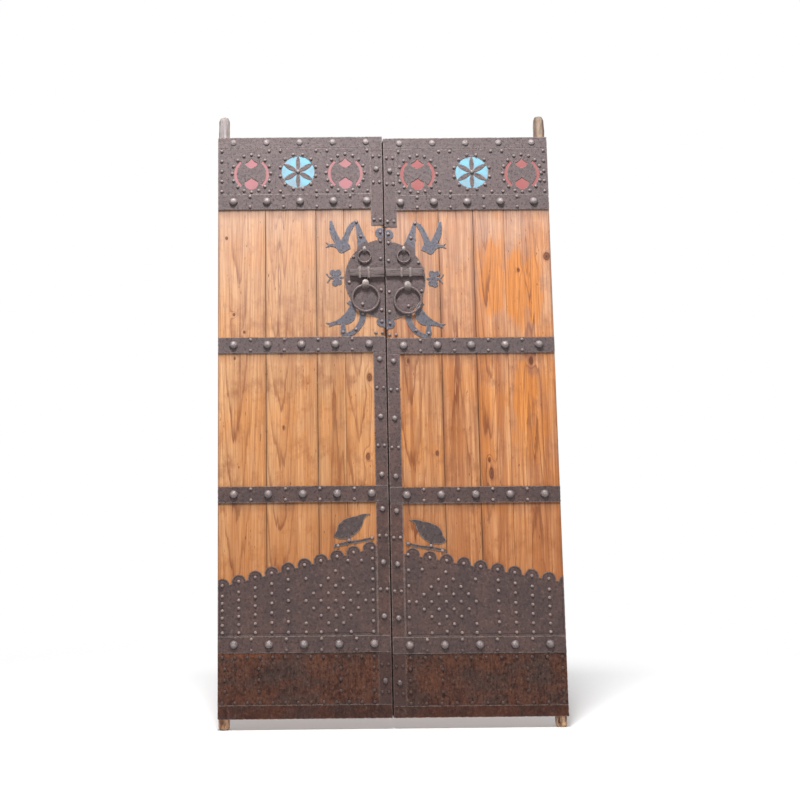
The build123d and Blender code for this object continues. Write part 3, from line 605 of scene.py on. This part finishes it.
def inside(spots, start, end):
    """Whether each point lies within closed rims: a line from it to the right crosses them an odd
    number of times."""
    found = []
    for few in np.array_split(spots, len(spots) // 3000 + 1):
        x, z = few[:, :1], few[:, 1:]
        over = (start[:, 1] > z) != (end[:, 1] > z)
        slope = np.where(over, end[:, 1] - start[:, 1], 1.0)
        cross = start[:, 0] + (z - start[:, 1]) * (end[:, 0] - start[:, 0]) / slope
        found.append((over & (cross > x)).sum(1) % 2 == 1)
    return np.concatenate(found)


def fill(rim, after, extra):
    """Triangles over the area within rims, through extra points inside it as well."""
    spots = np.concatenate([rim, extra])
    edges = np.stack([np.arange(len(rim)), after], 1)
    found = delaunay_2d_cdt([tuple(spot) for spot in spots * 1000], edges.tolist(), [], 0, 1e-6)
    made, faces = np.array(found[0]) / 1000, np.array(found[2])
    source = np.array([group[0] if group else -1 for group in found[3]])
    for lost in np.flatnonzero(source < 0):
        source[lost] = ((spots - made[lost]) ** 2).sum(1).argmin()
    faces = faces[inside(made[faces].mean(1), rim, rim[after])]
    faces = source[faces]
    a, b, c = (spots[faces[:, k]] for k in range(3))
    area = (b[:, 0] - a[:, 0]) * (c[:, 1] - a[:, 1]) - (b[:, 1] - a[:, 1]) * (c[:, 0] - a[:, 0])
    faces[area < 0] = faces[area < 0][:, ::-1]
    return faces[np.abs(area) > 1e-12]


def forged(node, seed, grid=0.006, ease=0.0008, ragged=0.0004, hammer=0.0005, groove=0.0):
    """Forged sheet: the rim, moved in and out a little as it was cut by eye, carries a rounded
    profile from the back to the face, and the face is a net of points with shallow hammer marks in
    it. Rows of points follow the rim inside it, where the edge wear ends and where a beaten
    groove may run."""
    rim, after, inward, front, thick = rim_of(node, 0.004)
    rim = rim + inward * (ragged * np.abs(swell(rim, 0.03, seed)))[:, None]
    ease = min(ease, thick * 0.45)
    profile = [(0.0, 0.0), (0.0, thick - ease), (0.3 * ease, thick - 0.3 * ease), (ease, thick)]
    rings = [lifted(rim + inward * move, rise) for move, rise in profile]
    top = rings[-1][:, :2]
    low, high = rim.min(0), rim.max(0)
    draw = np.random.default_rng(seed)
    across, up = np.meshgrid(np.arange(low[0], high[0], grid), np.arange(low[1], high[1], grid))
    net = np.stack([across.ravel(), up.ravel()], 1)
    net = net + draw.uniform(-0.25, 0.25, net.shape) * grid

    def from_rim(spots):
        return np.concatenate([np.sqrt(((few[:, None] - top[None]) ** 2).sum(2)).min(1)
                               for few in np.array_split(spots, len(spots) // 2000 + 1)])

    net = net[inside(net, top, top[after])]
    near = from_rim(net)
    rows = [(0.0026, 0.0, 0.45)]
    if groove:
        rows += [(0.005, 0.0, 0.25), (0.0066, -groove, -1.0), (0.0082, 0.0, 0.35)]
    net, near = (part[near > rows[-1][0] + 0.3 * grid] for part in (net, near))
    marks = swell(net, 0.022, seed + 1) * 0.7 + swell(net, 0.01, seed + 2) * 0.3
    rise = thick + hammer * np.minimum(marks - 0.4, 0.4) * np.minimum(near / 0.006, 1)
    edge = [np.full(len(rim), level) for level in (0.3, 0.8, 1.0, 0.8)]
    edge.append(np.exp(-near / 0.004) * 0.4)
    for move, drop, rub in rows:
        spots = top + inward * move
        spots = spots[from_rim(spots) > 0.93 * move]
        spots = spots[inside(spots, top, top[after])]
        net = np.concatenate([net, spots])
        rise = np.concatenate([rise, np.full(len(spots), thick + drop)])
        edge.append(np.full(len(spots), rub))
    points = np.concatenate([*rings, lifted(net, rise)])
    count = len(rim)
    here = np.arange(count)
    walls = np.concatenate([k * count + np.stack([here, after, after + count, here + count], 1)
                            for k in range(len(profile) - 1)])
    face = fill(top, after, net) + (len(profile) - 1) * count
    back = fill(rim, after, np.empty((0, 2)))[:, ::-1]
    points = np.stack([points[:, 0], front + thick - points[:, 2], points[:, 1]], 1)
    mesh = new_mesh(node, points, walls, face, back)
    worn(mesh, np.concatenate(edge))
    return mesh


kick_plate_top = 0.3
glare_foot, glare_height = 0.75, 1.5


def iron_finish(name, dark, brown, rust, level=(0.62, 0.46), gloss=0.15, metal=0.08, wear_and_highlight=0.0,
                mottle=1.0, streaks=0.0, foot_rust=0.0, dusty=0.0, drawn=1, shift=0, bluish_glare_rim=None):
    """Old forged iron: a dark waxed skin mottled by the hammer, with browner clouds, rust, pits,
    light edge wear and dark grooves where the piece says so, which on heads and saddles also stand
    for painted highlights and on heads for painted shade. Higher up a painted glare greys it and
    dust may roughen it, and outside the circle given by the last argument, its height and radius,
    the glare is bluer. Rust may run down it."""
    iron = Finish(name, paint(*dark), Specular_IOR_Level=gloss)
    cloud = iron.noise(0.07, shift=(shift, 2, 5), detail=4.0, rough=0.6)
    grain = iron.noise(0.0035, (drawn, 1, 1), (3, shift, 1), detail=4.0, rough=0.65)
    lumps = iron.noise(0.013, (drawn, 1, 1), (7, 1, shift), detail=6.0, rough=0.8)
    wear_dirt_and_light = iron.wear_dirt_and_light()
    iron.lay(cloud.above(0.38, 0.62), *brown)
    iron.lay(lumps.above(0.5, 0.7, rust), 108, 64, 48)
    speck = iron.noise(0.009, (drawn, 1, 1.2), (4, shift, 8), detail=5.0, rough=0.7)
    # Painted glare: pale grey laid over the iron, the more the higher it is, and bluer outside the
    # circle as sky light; dusty makes the iron rougher by the same share.
    painted_glare = (iron.z - glare_foot) / glare_height
    painted_glare = painted_glare.ramp((0.0, 0.05), (0.42, 0.5), (0.6, 0.5), (0.9, 0.74))
    grey = paint(117, 106, 107)
    if bluish_glare_rim:
        height, radius = bluish_glare_rim
        off = iron.z - height
        outside = ((iron.x * iron.x + off * off) / radius ** 2 - 1.06).math("GREATER_THAN", 0.0)
        painted_glare = painted_glare.math("MAXIMUM", outside * painted_glare * 1.5)
        grey = iron.mix(outside, grey, paint(111, 110, 120))
    iron.lay(painted_glare, grey)
    iron.lay(lumps.below(0.3, 0.45, 0.5 * mottle), 46, 36, 35)
    iron.lay(speck.below(0.36, 0.47, 0.65 * mottle), 40, 31, 30)
    iron.lay(lumps.above(0.54, 0.74, 0.65 * mottle), 138, 119, 115)
    # Darker where the points are marked below nothing: beaten grooves, and painted shade round the
    # feet and on the undersides of heads.
    iron.lay((wear_dirt_and_light * -1).above(0.2, 0.8, 0.8), 32, 25, 25)
    # Lighter where the points are marked high: worn edges, and painted highlights on the crowns of
    # heads and the brows of saddles.
    edge = (wear_dirt_and_light + (grain - 0.5) * 1.2 + (lumps - 0.5) * 0.8).above(0.5, 1.1, 0.5 + wear_and_highlight)
    iron.lay(edge, 168, 154, 148)
    pits = grain.below(0.3, 0.42, 0.85)
    iron.lay(pits, 38, 30, 29)
    height = grain * 0.5 + lumps * 0.6 - pits * 0.4
    if foot_rust:
        iron.lay(iron.z.below(0.27, 0.3, foot_rust), 66, 46, 42)
    if streaks:
        up_kick = iron.z / kick_plate_top
        run = iron.noise(0.022, (1, 1, 1.6), (2, shift, 6), detail=8.0, rough=0.78)
        drip = iron.noise(0.005, (1, 1, 12), (6, shift, 2))
        patch = iron.noise(0.15, (1, 1, 0.7), (9, 3, shift), detail=5.0, rough=0.65)
        high_up = up_kick.ramp((0.3, 0.3), (0.9, 0.6), (0.98, 1.0))
        iron.lay(patch.below(0.38, 0.52, 0.9 * streaks), 74, 60, 57)
        iron.lay(patch.above(0.46, 0.62, 0.65 * streaks), 94, 54, 42)
        iron.lay(run.below(0.35, 0.51, 0.85 * streaks), 42, 29, 27)
        warm = run.ramp((0.4, 0.1), (0.62, 0.75)) * patch.ramp((0.46, 0.2), (0.58, 1.0)) * high_up
        iron.lay(warm * 0.8, 112, 78, 58)
        corner = up_kick.above(0.84, 0.94) * (iron.x * -1).above(0.34, 0.48)
        iron.lay(corner * run.ramp((0.38, 0.2), (0.58, 0.9)), 152, 88, 50)
        iron.lay(speck.below(0.36, 0.46, 0.7 * streaks), 32, 23, 21)
        iron.lay(speck.above(0.56, 0.68, 0.5 * streaks), 132, 106, 88)
        pale = run.above(0.58, 0.72, 0.7) * patch.below(0.4, 0.52)
        iron.lay(pale, 132, 114, 106)
        iron.lay(drip.below(0.34, 0.46, 0.5 * streaks), 34, 25, 23)
        height = height + run * 0.6
    rough = cloud.ramp((0.3, level[0]), (0.7, level[1]))
    iron.feed("Roughness", rough + (lumps - 0.5) * 0.3 + painted_glare * dusty)
    iron.feed("Metallic", edge * 0.3 + metal)
    return iron.done(height, 0.0018)


disc_middle = 1.6451
black_iron = iron_finish("black_iron", (80, 67, 65), (92, 73, 69), 0.3, mottle=0.85)
strip_iron = iron_finish("strip_iron", (76, 62, 59), (96, 72, 67), 0.4, mottle=0.85, foot_rust=0.6)
plate_iron = iron_finish("plate_iron", (76, 64, 62), (92, 72, 68), 0.35, mottle=0.85, shift=5,
                         bluish_glare_rim=(disc_middle, 0.156))
bird_iron = iron_finish("bird_iron", (76, 67, 66), (84, 72, 69), 0.25, wear_and_highlight=0.1, shift=4,
                        bluish_glare_rim=(disc_middle, 0.1))
matt = dict(level=(0.68, 0.52), gloss=0.06, metal=0.0)
rusty_iron = iron_finish("rusty_iron", (72, 51, 45), (88, 60, 50), 0.4, mottle=0.7, streaks=0.85,
                         shift=2, **matt)
foot_iron = iron_finish("foot_iron", (56, 36, 32), (76, 46, 38), 0.4, mottle=0.6, streaks=0.4,
                        shift=12, **matt)

band = dict(ragged=0.0007)
bird = dict(grid=0.005, ragged=0.0003)
plate = dict(grid=0.007, hammer=0.0009)
sheet_pieces = {
    "top_edge_strap": (dict(ragged=0.0005), black_iron),
    **{f"{row}_band": (band, black_iron) for row in ("upper", "middle", "lower", "bottom")},
    "foot_strap": (dict(ragged=0.0007, hammer=0.0008), foot_iron),
    "meeting_strips": (dict(ragged=0.0004), strip_iron),
    "kick_plate": (plate, rusty_iron),
    "scalloped_plate": (dict(plate, groove=0.0008), black_iron),
    "pierced_panel": (dict(ease=0.0005, ragged=0.0002, hammer=0.0007), black_iron),
    "lock_plate": (dict(hammer=0.0007), plate_iron),
    "swallow": (bird, bird_iron),
    "butterfly": (dict(grid=0.005, ease=0.0006, ragged=0.0002), bird_iron),
    "perched_bird": (bird, bird_iron),
    "branch_bird": (bird, bird_iron),
}
for number, side in enumerate(sides):
    for count, (name, (shape, finish)) in enumerate(sheet_pieces.items()):
        node = f"{side}_{name}"
        slot = "rusty_iron" if finish in (rusty_iron, foot_iron) else "dark_iron"
        mesh = forged(node, 100 + 40 * number + count, **shape)
        piece(node + "_iron", mesh, node, finish, sharp=50)


# Painted backing
# Behind the pierced panel three thin sheets show through its holes: red, light blue and red.
# The paint is old and matt, with clouds of dirt and small chips.

def backing_finish(name, red, near, far):
    """Matt paint, blue between two distances from the seam and red outside, with dirt and chips."""
    sheet = Finish(name, red, Roughness=0.7, Specular_IOR_Level=0.25)
    cloud = sheet.noise(0.03, shift=(2, 2, near * 40), detail=4.0)
    speck = sheet.noise(0.004, shift=(5, 1, 1), detail=4.0, rough=0.7)
    across = sheet.x.math("ABSOLUTE")
    sheet.lay(across.math("GREATER_THAN", near) * across.math("LESS_THAN", far), 126, 182, 202)
    sheet.lay(cloud.above(0.4, 0.7, 0.45), 150, 112, 104)
    sheet.lay(speck.above(0.62, 0.7, 0.5), 90, 62, 56)
    return sheet.done(speck, 0.0003)


backings = {"left": (paint(170, 116, 121), 0.234, 0.4125),
            "right": (paint(158, 93, 93), 0.2345, 0.4335)}
for side in sides:
    node = frame["nodes"][side + "_painted_backing"]
    node.data.materials.clear()
    node.data.materials.append(backing_finish(side + "_backing_paint", *backings[side]))


# Domed studs
# Round-headed studs with a thin beaten rim, driven in a row along each band and down each strip.
# No two heads are quite alike. Their crowns are lighter, partly rubbed by hands and sleeves and
# partly a painted highlight, and round their feet and on their undersides lies painted shade.

def solids_of(node):
    """The lowest and highest corner of each separate solid of a node: joined points take the lowest
    number among their neighbours until none changes."""
    points, corners = shape_of(node)
    spots, place = welded(points)
    faces = place[corners]
    group = np.arange(len(spots))
    before = None
    while before is None or (before != group).any():
        before = group.copy()
        lowest = group[faces].min(1)
        for k in range(3):
            np.minimum.at(group, faces[:, k], lowest)
        group = group[group]
    names, member = np.unique(group, return_inverse=True)
    low = np.full((len(names), 3), 1e9)
    high = -low
    np.minimum.at(low, member, spots)
    np.maximum.at(high, member, spots)
    return low, high


head_play = 0.985
any_turn = 6.28


def heads(node, profile, around, seed, flats, tilt, shade):
    """Forged heads, one for each solid of the node: a profile of (share of the radius, share of the
    rise) turned about the head's own axis, with flats cut round it, a random tilt and height, and
    its foot let into the iron behind. Each crown is kept lighter, partly wear and partly a painted
    highlight, and each foot and underside darker with painted shade; shade sets how dark the
    undersides are."""
    low, high = (part[:, :, None, None] for part in solids_of(node))
    middle, radius, rise = (low + high) / 2, (high[:, 0] - low[:, 0]) / 2, high[:, 1] - low[:, 1]
    draw = np.random.default_rng(seed)
    count, rings = len(middle), len(profile)
    share, height = np.array(profile).T[:, :, None]
    turn = round_turn(around) + draw.uniform(0, any_turn, (count, 1, 1))
    sector = 2 * math.pi / draw.integers(4, 7, (count, 1, 1))
    local = (turn + draw.uniform(0, any_turn, (count, 1, 1))) % sector - sector / 2
    facet = 1 - flats * (1 - np.cos(sector / 2) / np.cos(local))
    facet = facet / facet.max(-1, keepdims=True)
    uneven = 1 + draw.normal(0, 0.02, (count, 1, around)) * share
    spread = share * facet * radius * uneven * head_play
    across, along = spread * np.cos(turn), spread * np.sin(turn)
    lean = np.tan(np.radians(draw.normal(0, tilt, (2, count, 1, 1)))) * height
    up = height * rise * draw.uniform(0.88, 1.0, (count, 1, 1))
    up = up + across * lean[0] + along * lean[1]
    points = np.stack([middle[:, 0] + across, high[:, 1] - up, middle[:, 2] + along], -1)
    crown, sole = points[:, -1].mean(1), points[:, 0].mean(1)
    for pole in (crown, sole):
        pole[:, [0, 2]] = middle[:, [0, 2], 0, 0]
    crown[:, 1] -= up[:, -1].mean(1) * 0.01
    block, total = rings * around, count * rings * around
    number = np.arange(count)[:, None]
    quads = (number[:, :, None] * block + wrap(rings, around)[:, ::-1]).reshape(-1, 4)
    base = number * block + np.arange(around)
    caps = np.concatenate([fans(base + block - around, total + number, False),
                           fans(base, total + count + number, True)])
    mesh = new_mesh(node, np.concatenate([points.reshape(-1, 3), crown, sole]), quads, caps)
    # Painted light on the heads: a lighter crown, partly wear and partly a painted highlight, and
    # painted shade round the foot and on the underside.
    wear_dirt_and_light = np.clip(height, 0, 1) ** 1.5 * 1.2 - 0.4
    under = np.maximum(-np.sin(turn), -0.2) * share
    wear_dirt_and_light = (wear_dirt_and_light - shade * under).ravel()
    worn(mesh, np.concatenate([wear_dirt_and_light, np.full(count, 0.75), np.zeros(count)]))
    return mesh


# The crowns of the studs are lightened strongly: partly wear, partly a painted highlight.
stud_iron = iron_finish("stud_iron", (106, 95, 95), (114, 99, 97), 0.3, level=(0.42, 0.32),
                        gloss=0.8, metal=0.12, wear_and_highlight=0.3, mottle=0.5, foot_rust=0.75,
                        dusty=0.3, shift=6)
last_bend = 1.35
dome_profile = [(0.97, -0.05), (1.0, 0.06), (0.97, 0.15)]
dome_profile += [(0.93 * math.cos(angle), 0.15 + 0.85 * math.sin(angle) / math.sin(last_bend))
                 for angle in np.linspace(0.0, last_bend, 8)[1:]]
for number, side in enumerate(sides):
    node = side + "_dome_studs"
    mesh = heads(node, dome_profile, around=24, seed=200 + number, flats=0.12, tilt=3.0, shade=1.3)
    piece(side + "_stud_heads", mesh, node, stud_iron, sharp=45)


# Nails
# Hand-forged nails with four to six hammered faces on each head, in rings round the roundels, in
# pairs on the bands, and in rows and a diamond on the plates.

duller = dict(level=(0.56, 0.44), gloss=0.45)
nail_iron = iron_finish("nail_iron", (128, 111, 108), (140, 118, 112), 0.3, wear_and_highlight=0.1, mottle=0.4,
                        foot_rust=0.92, dusty=0.2, shift=11, **duller)
nail_profile = [(0.97, -0.05), (1.0, 0.28), (0.88, 0.64), (0.52, 0.93)]
for number, side in enumerate(sides):
    node = side + "_nails"
    # The nail heads carry the same painted highlight on their crowns and painted shade round their
    # feet and undersides.
    mesh = heads(node, nail_profile, around=10, seed=300 + number, flats=0.25, tilt=4.0, shade=1.4)
    piece(side + "_nail_heads", mesh, node, nail_iron, sharp=35)


# Ring pulls
# Four round wires bent and welded into rings, two large ones to pull the leaves and two small ones
# for a padlock or a cord. They hang in their saddles and are rubbed a little in front.

def wire_ring(node, seed):
    """A ring: a circle of wire carried round a larger circle. The wire swells a little, most at its
    foot, and keeps its true thickness where it turns in the saddle."""
    low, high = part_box(node)
    middle, wire = (low + high) / 2, (high[1] - low[1]) / 2
    radius = (high[0] - low[0]) / 2 - wire
    turn, bend = round_turn(120), round_turn(16)
    free = ((1 + np.cos(turn)) / 2)[:, None]
    spot = ways(turn)[:, None, :] * radius + ways(bend)[None] * wire
    thick = wire * (0.985 + free * (0.06 * np.minimum(swell(spot, 0.02, seed), 0.2) - 0.02))
    out = radius + thick * np.cos(bend)
    points = np.stack([middle[0] - out * np.sin(turn)[:, None], middle[1] - thick * np.sin(bend),
                       middle[2] - out * np.cos(turn)[:, None]], -1)
    around = len(bend)
    faces = wrap(len(turn) + 1, around) % (len(turn) * around)
    mesh = new_mesh(node, points.reshape(-1, 3), faces)
    worn(mesh, np.broadcast_to(0.2 + 0.35 * np.maximum(np.sin(bend), 0), thick.shape))
    return mesh


ring_iron = iron_finish("ring_iron", (78, 62, 58), (94, 71, 63), 0.5, level=(0.58, 0.44),
                        gloss=0.45, metal=0.15, mottle=0.6, shift=9)
for number, side in enumerate(sides):
    for count, size in enumerate(("large", "small")):
        node = f"{side}_{size}_ring"
        mesh = wire_ring(node, 400 + number * 2 + count)
        piece(node + "_pull", mesh, node, ring_iron)


# Saddles
# A cap of iron beaten round over the wire of each ring, open behind, with its foot against the lock
# plate. Its brow carries a painted highlight, nearly white, where light from above falls on it.

saddle_places = {}
saddle_wall = 0.0025
saddle_skin = 0.0012


def hood(name, low, high, wire_middle):
    """A saddle: a section carried across its width. Inside, the section is the bore, round in front
    and square to the plate; outside it comes down from the plate in a quarter of an ellipse, goes
    round the bore and back to the plate. Towards the sides the outside draws in on the bore along a
    circle."""
    bore, wall = high[1] - wire_middle[1], saddle_wall
    outer, rise = wire_middle[1] - low[1], high[2] - wire_middle[2]
    fall = wire_middle[2] - low[2]
    arc = np.linspace(0, math.pi / 2, 13)[1:]
    brow = np.stack([bore - wall - (outer + bore - wall) * np.sin(arc), rise * np.cos(arc)], 1)
    chin = np.stack([-outer * np.cos(arc), -outer * np.sin(arc)], 1)
    outside = np.concatenate([[[bore, rise], [bore - wall, rise]], brow, chin,
                              [[bore - wall, -outer], [bore - wall, -fall], [bore, -fall]]])
    round_bore = np.stack([-bore * np.sin(2 * arc), bore * np.cos(2 * arc)], 1)
    inner = np.concatenate([[[bore, bore], [bore / 2, bore], [0, bore]],
                            np.repeat(round_bore, 2, 0), [[bore / 2, -bore], [bore, -bore]]])
    share = np.linspace(0, len(inner) - 1, len(outside))
    inner = np.stack([np.interp(share, np.arange(len(inner)), inner[:, k]) for k in range(2)], 1)
    skin = inner * (1 + saddle_skin / np.linalg.norm(inner, axis=1, keepdims=True))
    skin[:, 0] = np.minimum(skin[:, 0], bore)
    across = np.sin(np.linspace(-math.pi / 2, math.pi / 2, 19))
    draw_in = np.sqrt(1 - (0.95 * across) ** 2)[:, None, None]
    drawn = skin + (outside - skin) * draw_in
    loop = np.concatenate([drawn, np.broadcast_to(inner[::-1], drawn.shape)], 1)
    x = (low[0] + high[0]) / 2 + across * (high[0] - low[0]) / 2
    points = np.stack([np.broadcast_to(x[:, None], loop.shape[:2]), wire_middle[1] + loop[..., 0],
                       wire_middle[2] + loop[..., 1]], -1)
    around, count = loop.shape[1], len(across)
    half = np.arange(around // 2 - 1)
    cap = np.stack([half, half + 1, around - 2 - half, around - 1 - half], 1)
    last = (count - 1) * around
    caps = (cap, cap[:, ::-1] + last)
    mesh = new_mesh(name, points.reshape(-1, 3), wrap(count, around)[:, ::-1], *caps)
    # The front half is painted lighter towards the brow: a painted highlight where light from above
    # falls, fading to the sides.
    top = np.clip((points[..., 2] - wire_middle[2]) / rise, 0, 1) * (1 - 0.5 * across ** 2)[:, None]
    worn(mesh, np.where(np.arange(around) < around // 2, 0.25 + 0.8 * top ** 0.7, 0.0))
    return mesh


saddle_iron = iron_finish("saddle_iron", (108, 98, 92), (118, 104, 94), 0.15, metal=0.1,
                          wear_and_highlight=0.15, mottle=0.5, shift=8, **duller)
for side in sides:
    node = side + "_saddle_staples"
    low_all, high_all = solids_of(node)
    saddle_places[side] = []
    for size in ("large", "small"):
        ring_low, ring_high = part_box(f"{side}_{size}_ring")
        middle = (ring_low + ring_high) / 2
        wire = (ring_high[1] - ring_low[1]) / 2
        wire_middle = np.array([middle[0], middle[1], ring_high[2] - wire])
        here = ((low_all < wire_middle + 0.001) & (high_all > wire_middle - 0.001)).all(1).argmax()
        saddle_places[side].append((low_all[here], high_all[here]))
        made = hood(f"{side}_{size}_saddle", low_all[here], high_all[here], wire_middle)
        piece(f"{side}_{size}_ring_saddle", made, node, saddle_iron, sharp=60)


# Staples, channel and bolt
# Two squared staples on each leaf hold the channel and the bolt to the lock plate. The bolt is a
# flat bar with an upset head; on the left leaf it runs into a box channel with a square knob.

bolt_arris = 0.0009
bolt_iron = iron_finish("bolt_iron", (66, 56, 52), (82, 66, 58), 0.4, level=(0.52, 0.4),
                        gloss=0.35, wear_and_highlight=0.15, mottle=1.2, drawn=9, shift=7)
staple_iron = iron_finish("staple_iron", (112, 98, 90), (120, 100, 88), 0.3, level=(0.52, 0.4),
                          gloss=0.5, wear_and_highlight=0.2, mottle=0.6, shift=3)
for side in sides:
    node = side + "_saddle_staples"
    mesh = eased(node, bolt_arris, 3, saddle_places[side])
    worn(mesh, np.full(len(mesh.vertices), 0.55))
    piece(side + "_bolt_staples", mesh, node, staple_iron, sharp=60)
for node, name in (("left_keeper_channel", "left_channel_box"),
                   ("right_door_bolt", "right_bolt_bar")):
    mesh = eased(node, bolt_arris, 3)
    worn(mesh, np.full(len(mesh.vertices), 0.25))
    piece(name, mesh, node, bolt_iron, sharp=60)


# Floor, lamps and camera
# A plain pale floor that goes on into a white background, a broad soft lamp high in front of the
# doors and a weaker one behind, and the camera low in front, tilted up a little, as the photograph
# was taken.

floor_size = 60.0
floor_points = np.array([[-1, -1, 0], [1, -1, 0], [1, 1, 0], [-1, 1, 0]], float) * floor_size / 2
pale = (0.86, 0.86, 0.86, 1)
white = (1, 1, 1, 1)
ground = Finish("pale_floor", pale, Roughness=0.9, Specular_IOR_Level=0.1, Base_Color=pale)
far_away = (ground.x * ground.x + ground.y * ground.y) ** 0.5
far_share = (far_away / 6).above(0.12, 0.5)
seen = ground.add("ShaderNodeLightPath", out="Is Camera Ray")
glow = ground.add("ShaderNodeEmission", {}, {"Color": white})
plain = Value(ground, ground.shader.outputs[0])
joined = ground.add("ShaderNodeMixShader", {}, {0: far_share * seen, 1: plain, 2: glow})
ground.tree.links.new(joined.socket, ground.tree.nodes["Material Output"].inputs["Surface"])
floor = put("floor", new_mesh("floor", floor_points, np.array([[0, 1, 2, 3]])))
floor.data.materials.append(ground.material)

world = bpy.data.worlds.new("studio")
bpy.context.scene.world = world
world.use_nodes = True
sky = Nodes(world.node_tree)
dim = sky.add("ShaderNodeBackground", {}, {"Color": (0.97, 0.98, 1.0, 1), "Strength": 0.33})
bright = sky.add("ShaderNodeBackground", {}, {"Color": white})
camera_ray, clear_ray, glossy_ray = (sky.add("ShaderNodeLightPath", out=f"Is {kind} Ray")
                                     for kind in ("Camera", "Transmission", "Glossy"))
either = camera_ray.math("MAXIMUM", clear_ray).math("MAXIMUM", glossy_ray)
blend = sky.add("ShaderNodeMixShader", {}, {0: either, 1: dim, 2: bright})
sky.tree.links.new(blend.socket, sky.tree.nodes["World Output"].inputs["Surface"])


def lamp(name, place, aim, width, power):
    """A broad square lamp at a place, turned to face a point."""
    light = bpy.data.lights.new(name, "AREA")
    light.shape, light.size, light.energy = "SQUARE", width, power
    made = put(name, light)
    made.location = place
    way = np.array(aim, float) - np.array(place, float)
    made.rotation_euler = (math.acos(-way[2] / np.linalg.norm(way)), 0, math.atan2(-way[0], way[1]))


door_middle = (0, 0, leaf_middle)
lamp("high_lamp", (-0.4, -2.1, 5.2), door_middle, width=1.0, power=345.0)
lamp("back_lamp", (0.8, 3.6, 3.6), door_middle, width=2.0, power=90.0)

camera = bpy.data.cameras.new("camera")
camera.lens = 44.405
picture_side = 800
camera.shift_x, camera.shift_y = 88.9 / picture_side, -1.2 / picture_side
view = put("camera", camera)
view.location = (-0.2927, -3.6694, 0.7606)
view.rotation_euler = tuple(math.radians(turn) for turn in (96.7587, 0.5697, -0.0914))
bpy.context.scene.camera = view
bpy.context.scene.view_settings.view_transform = "Standard"
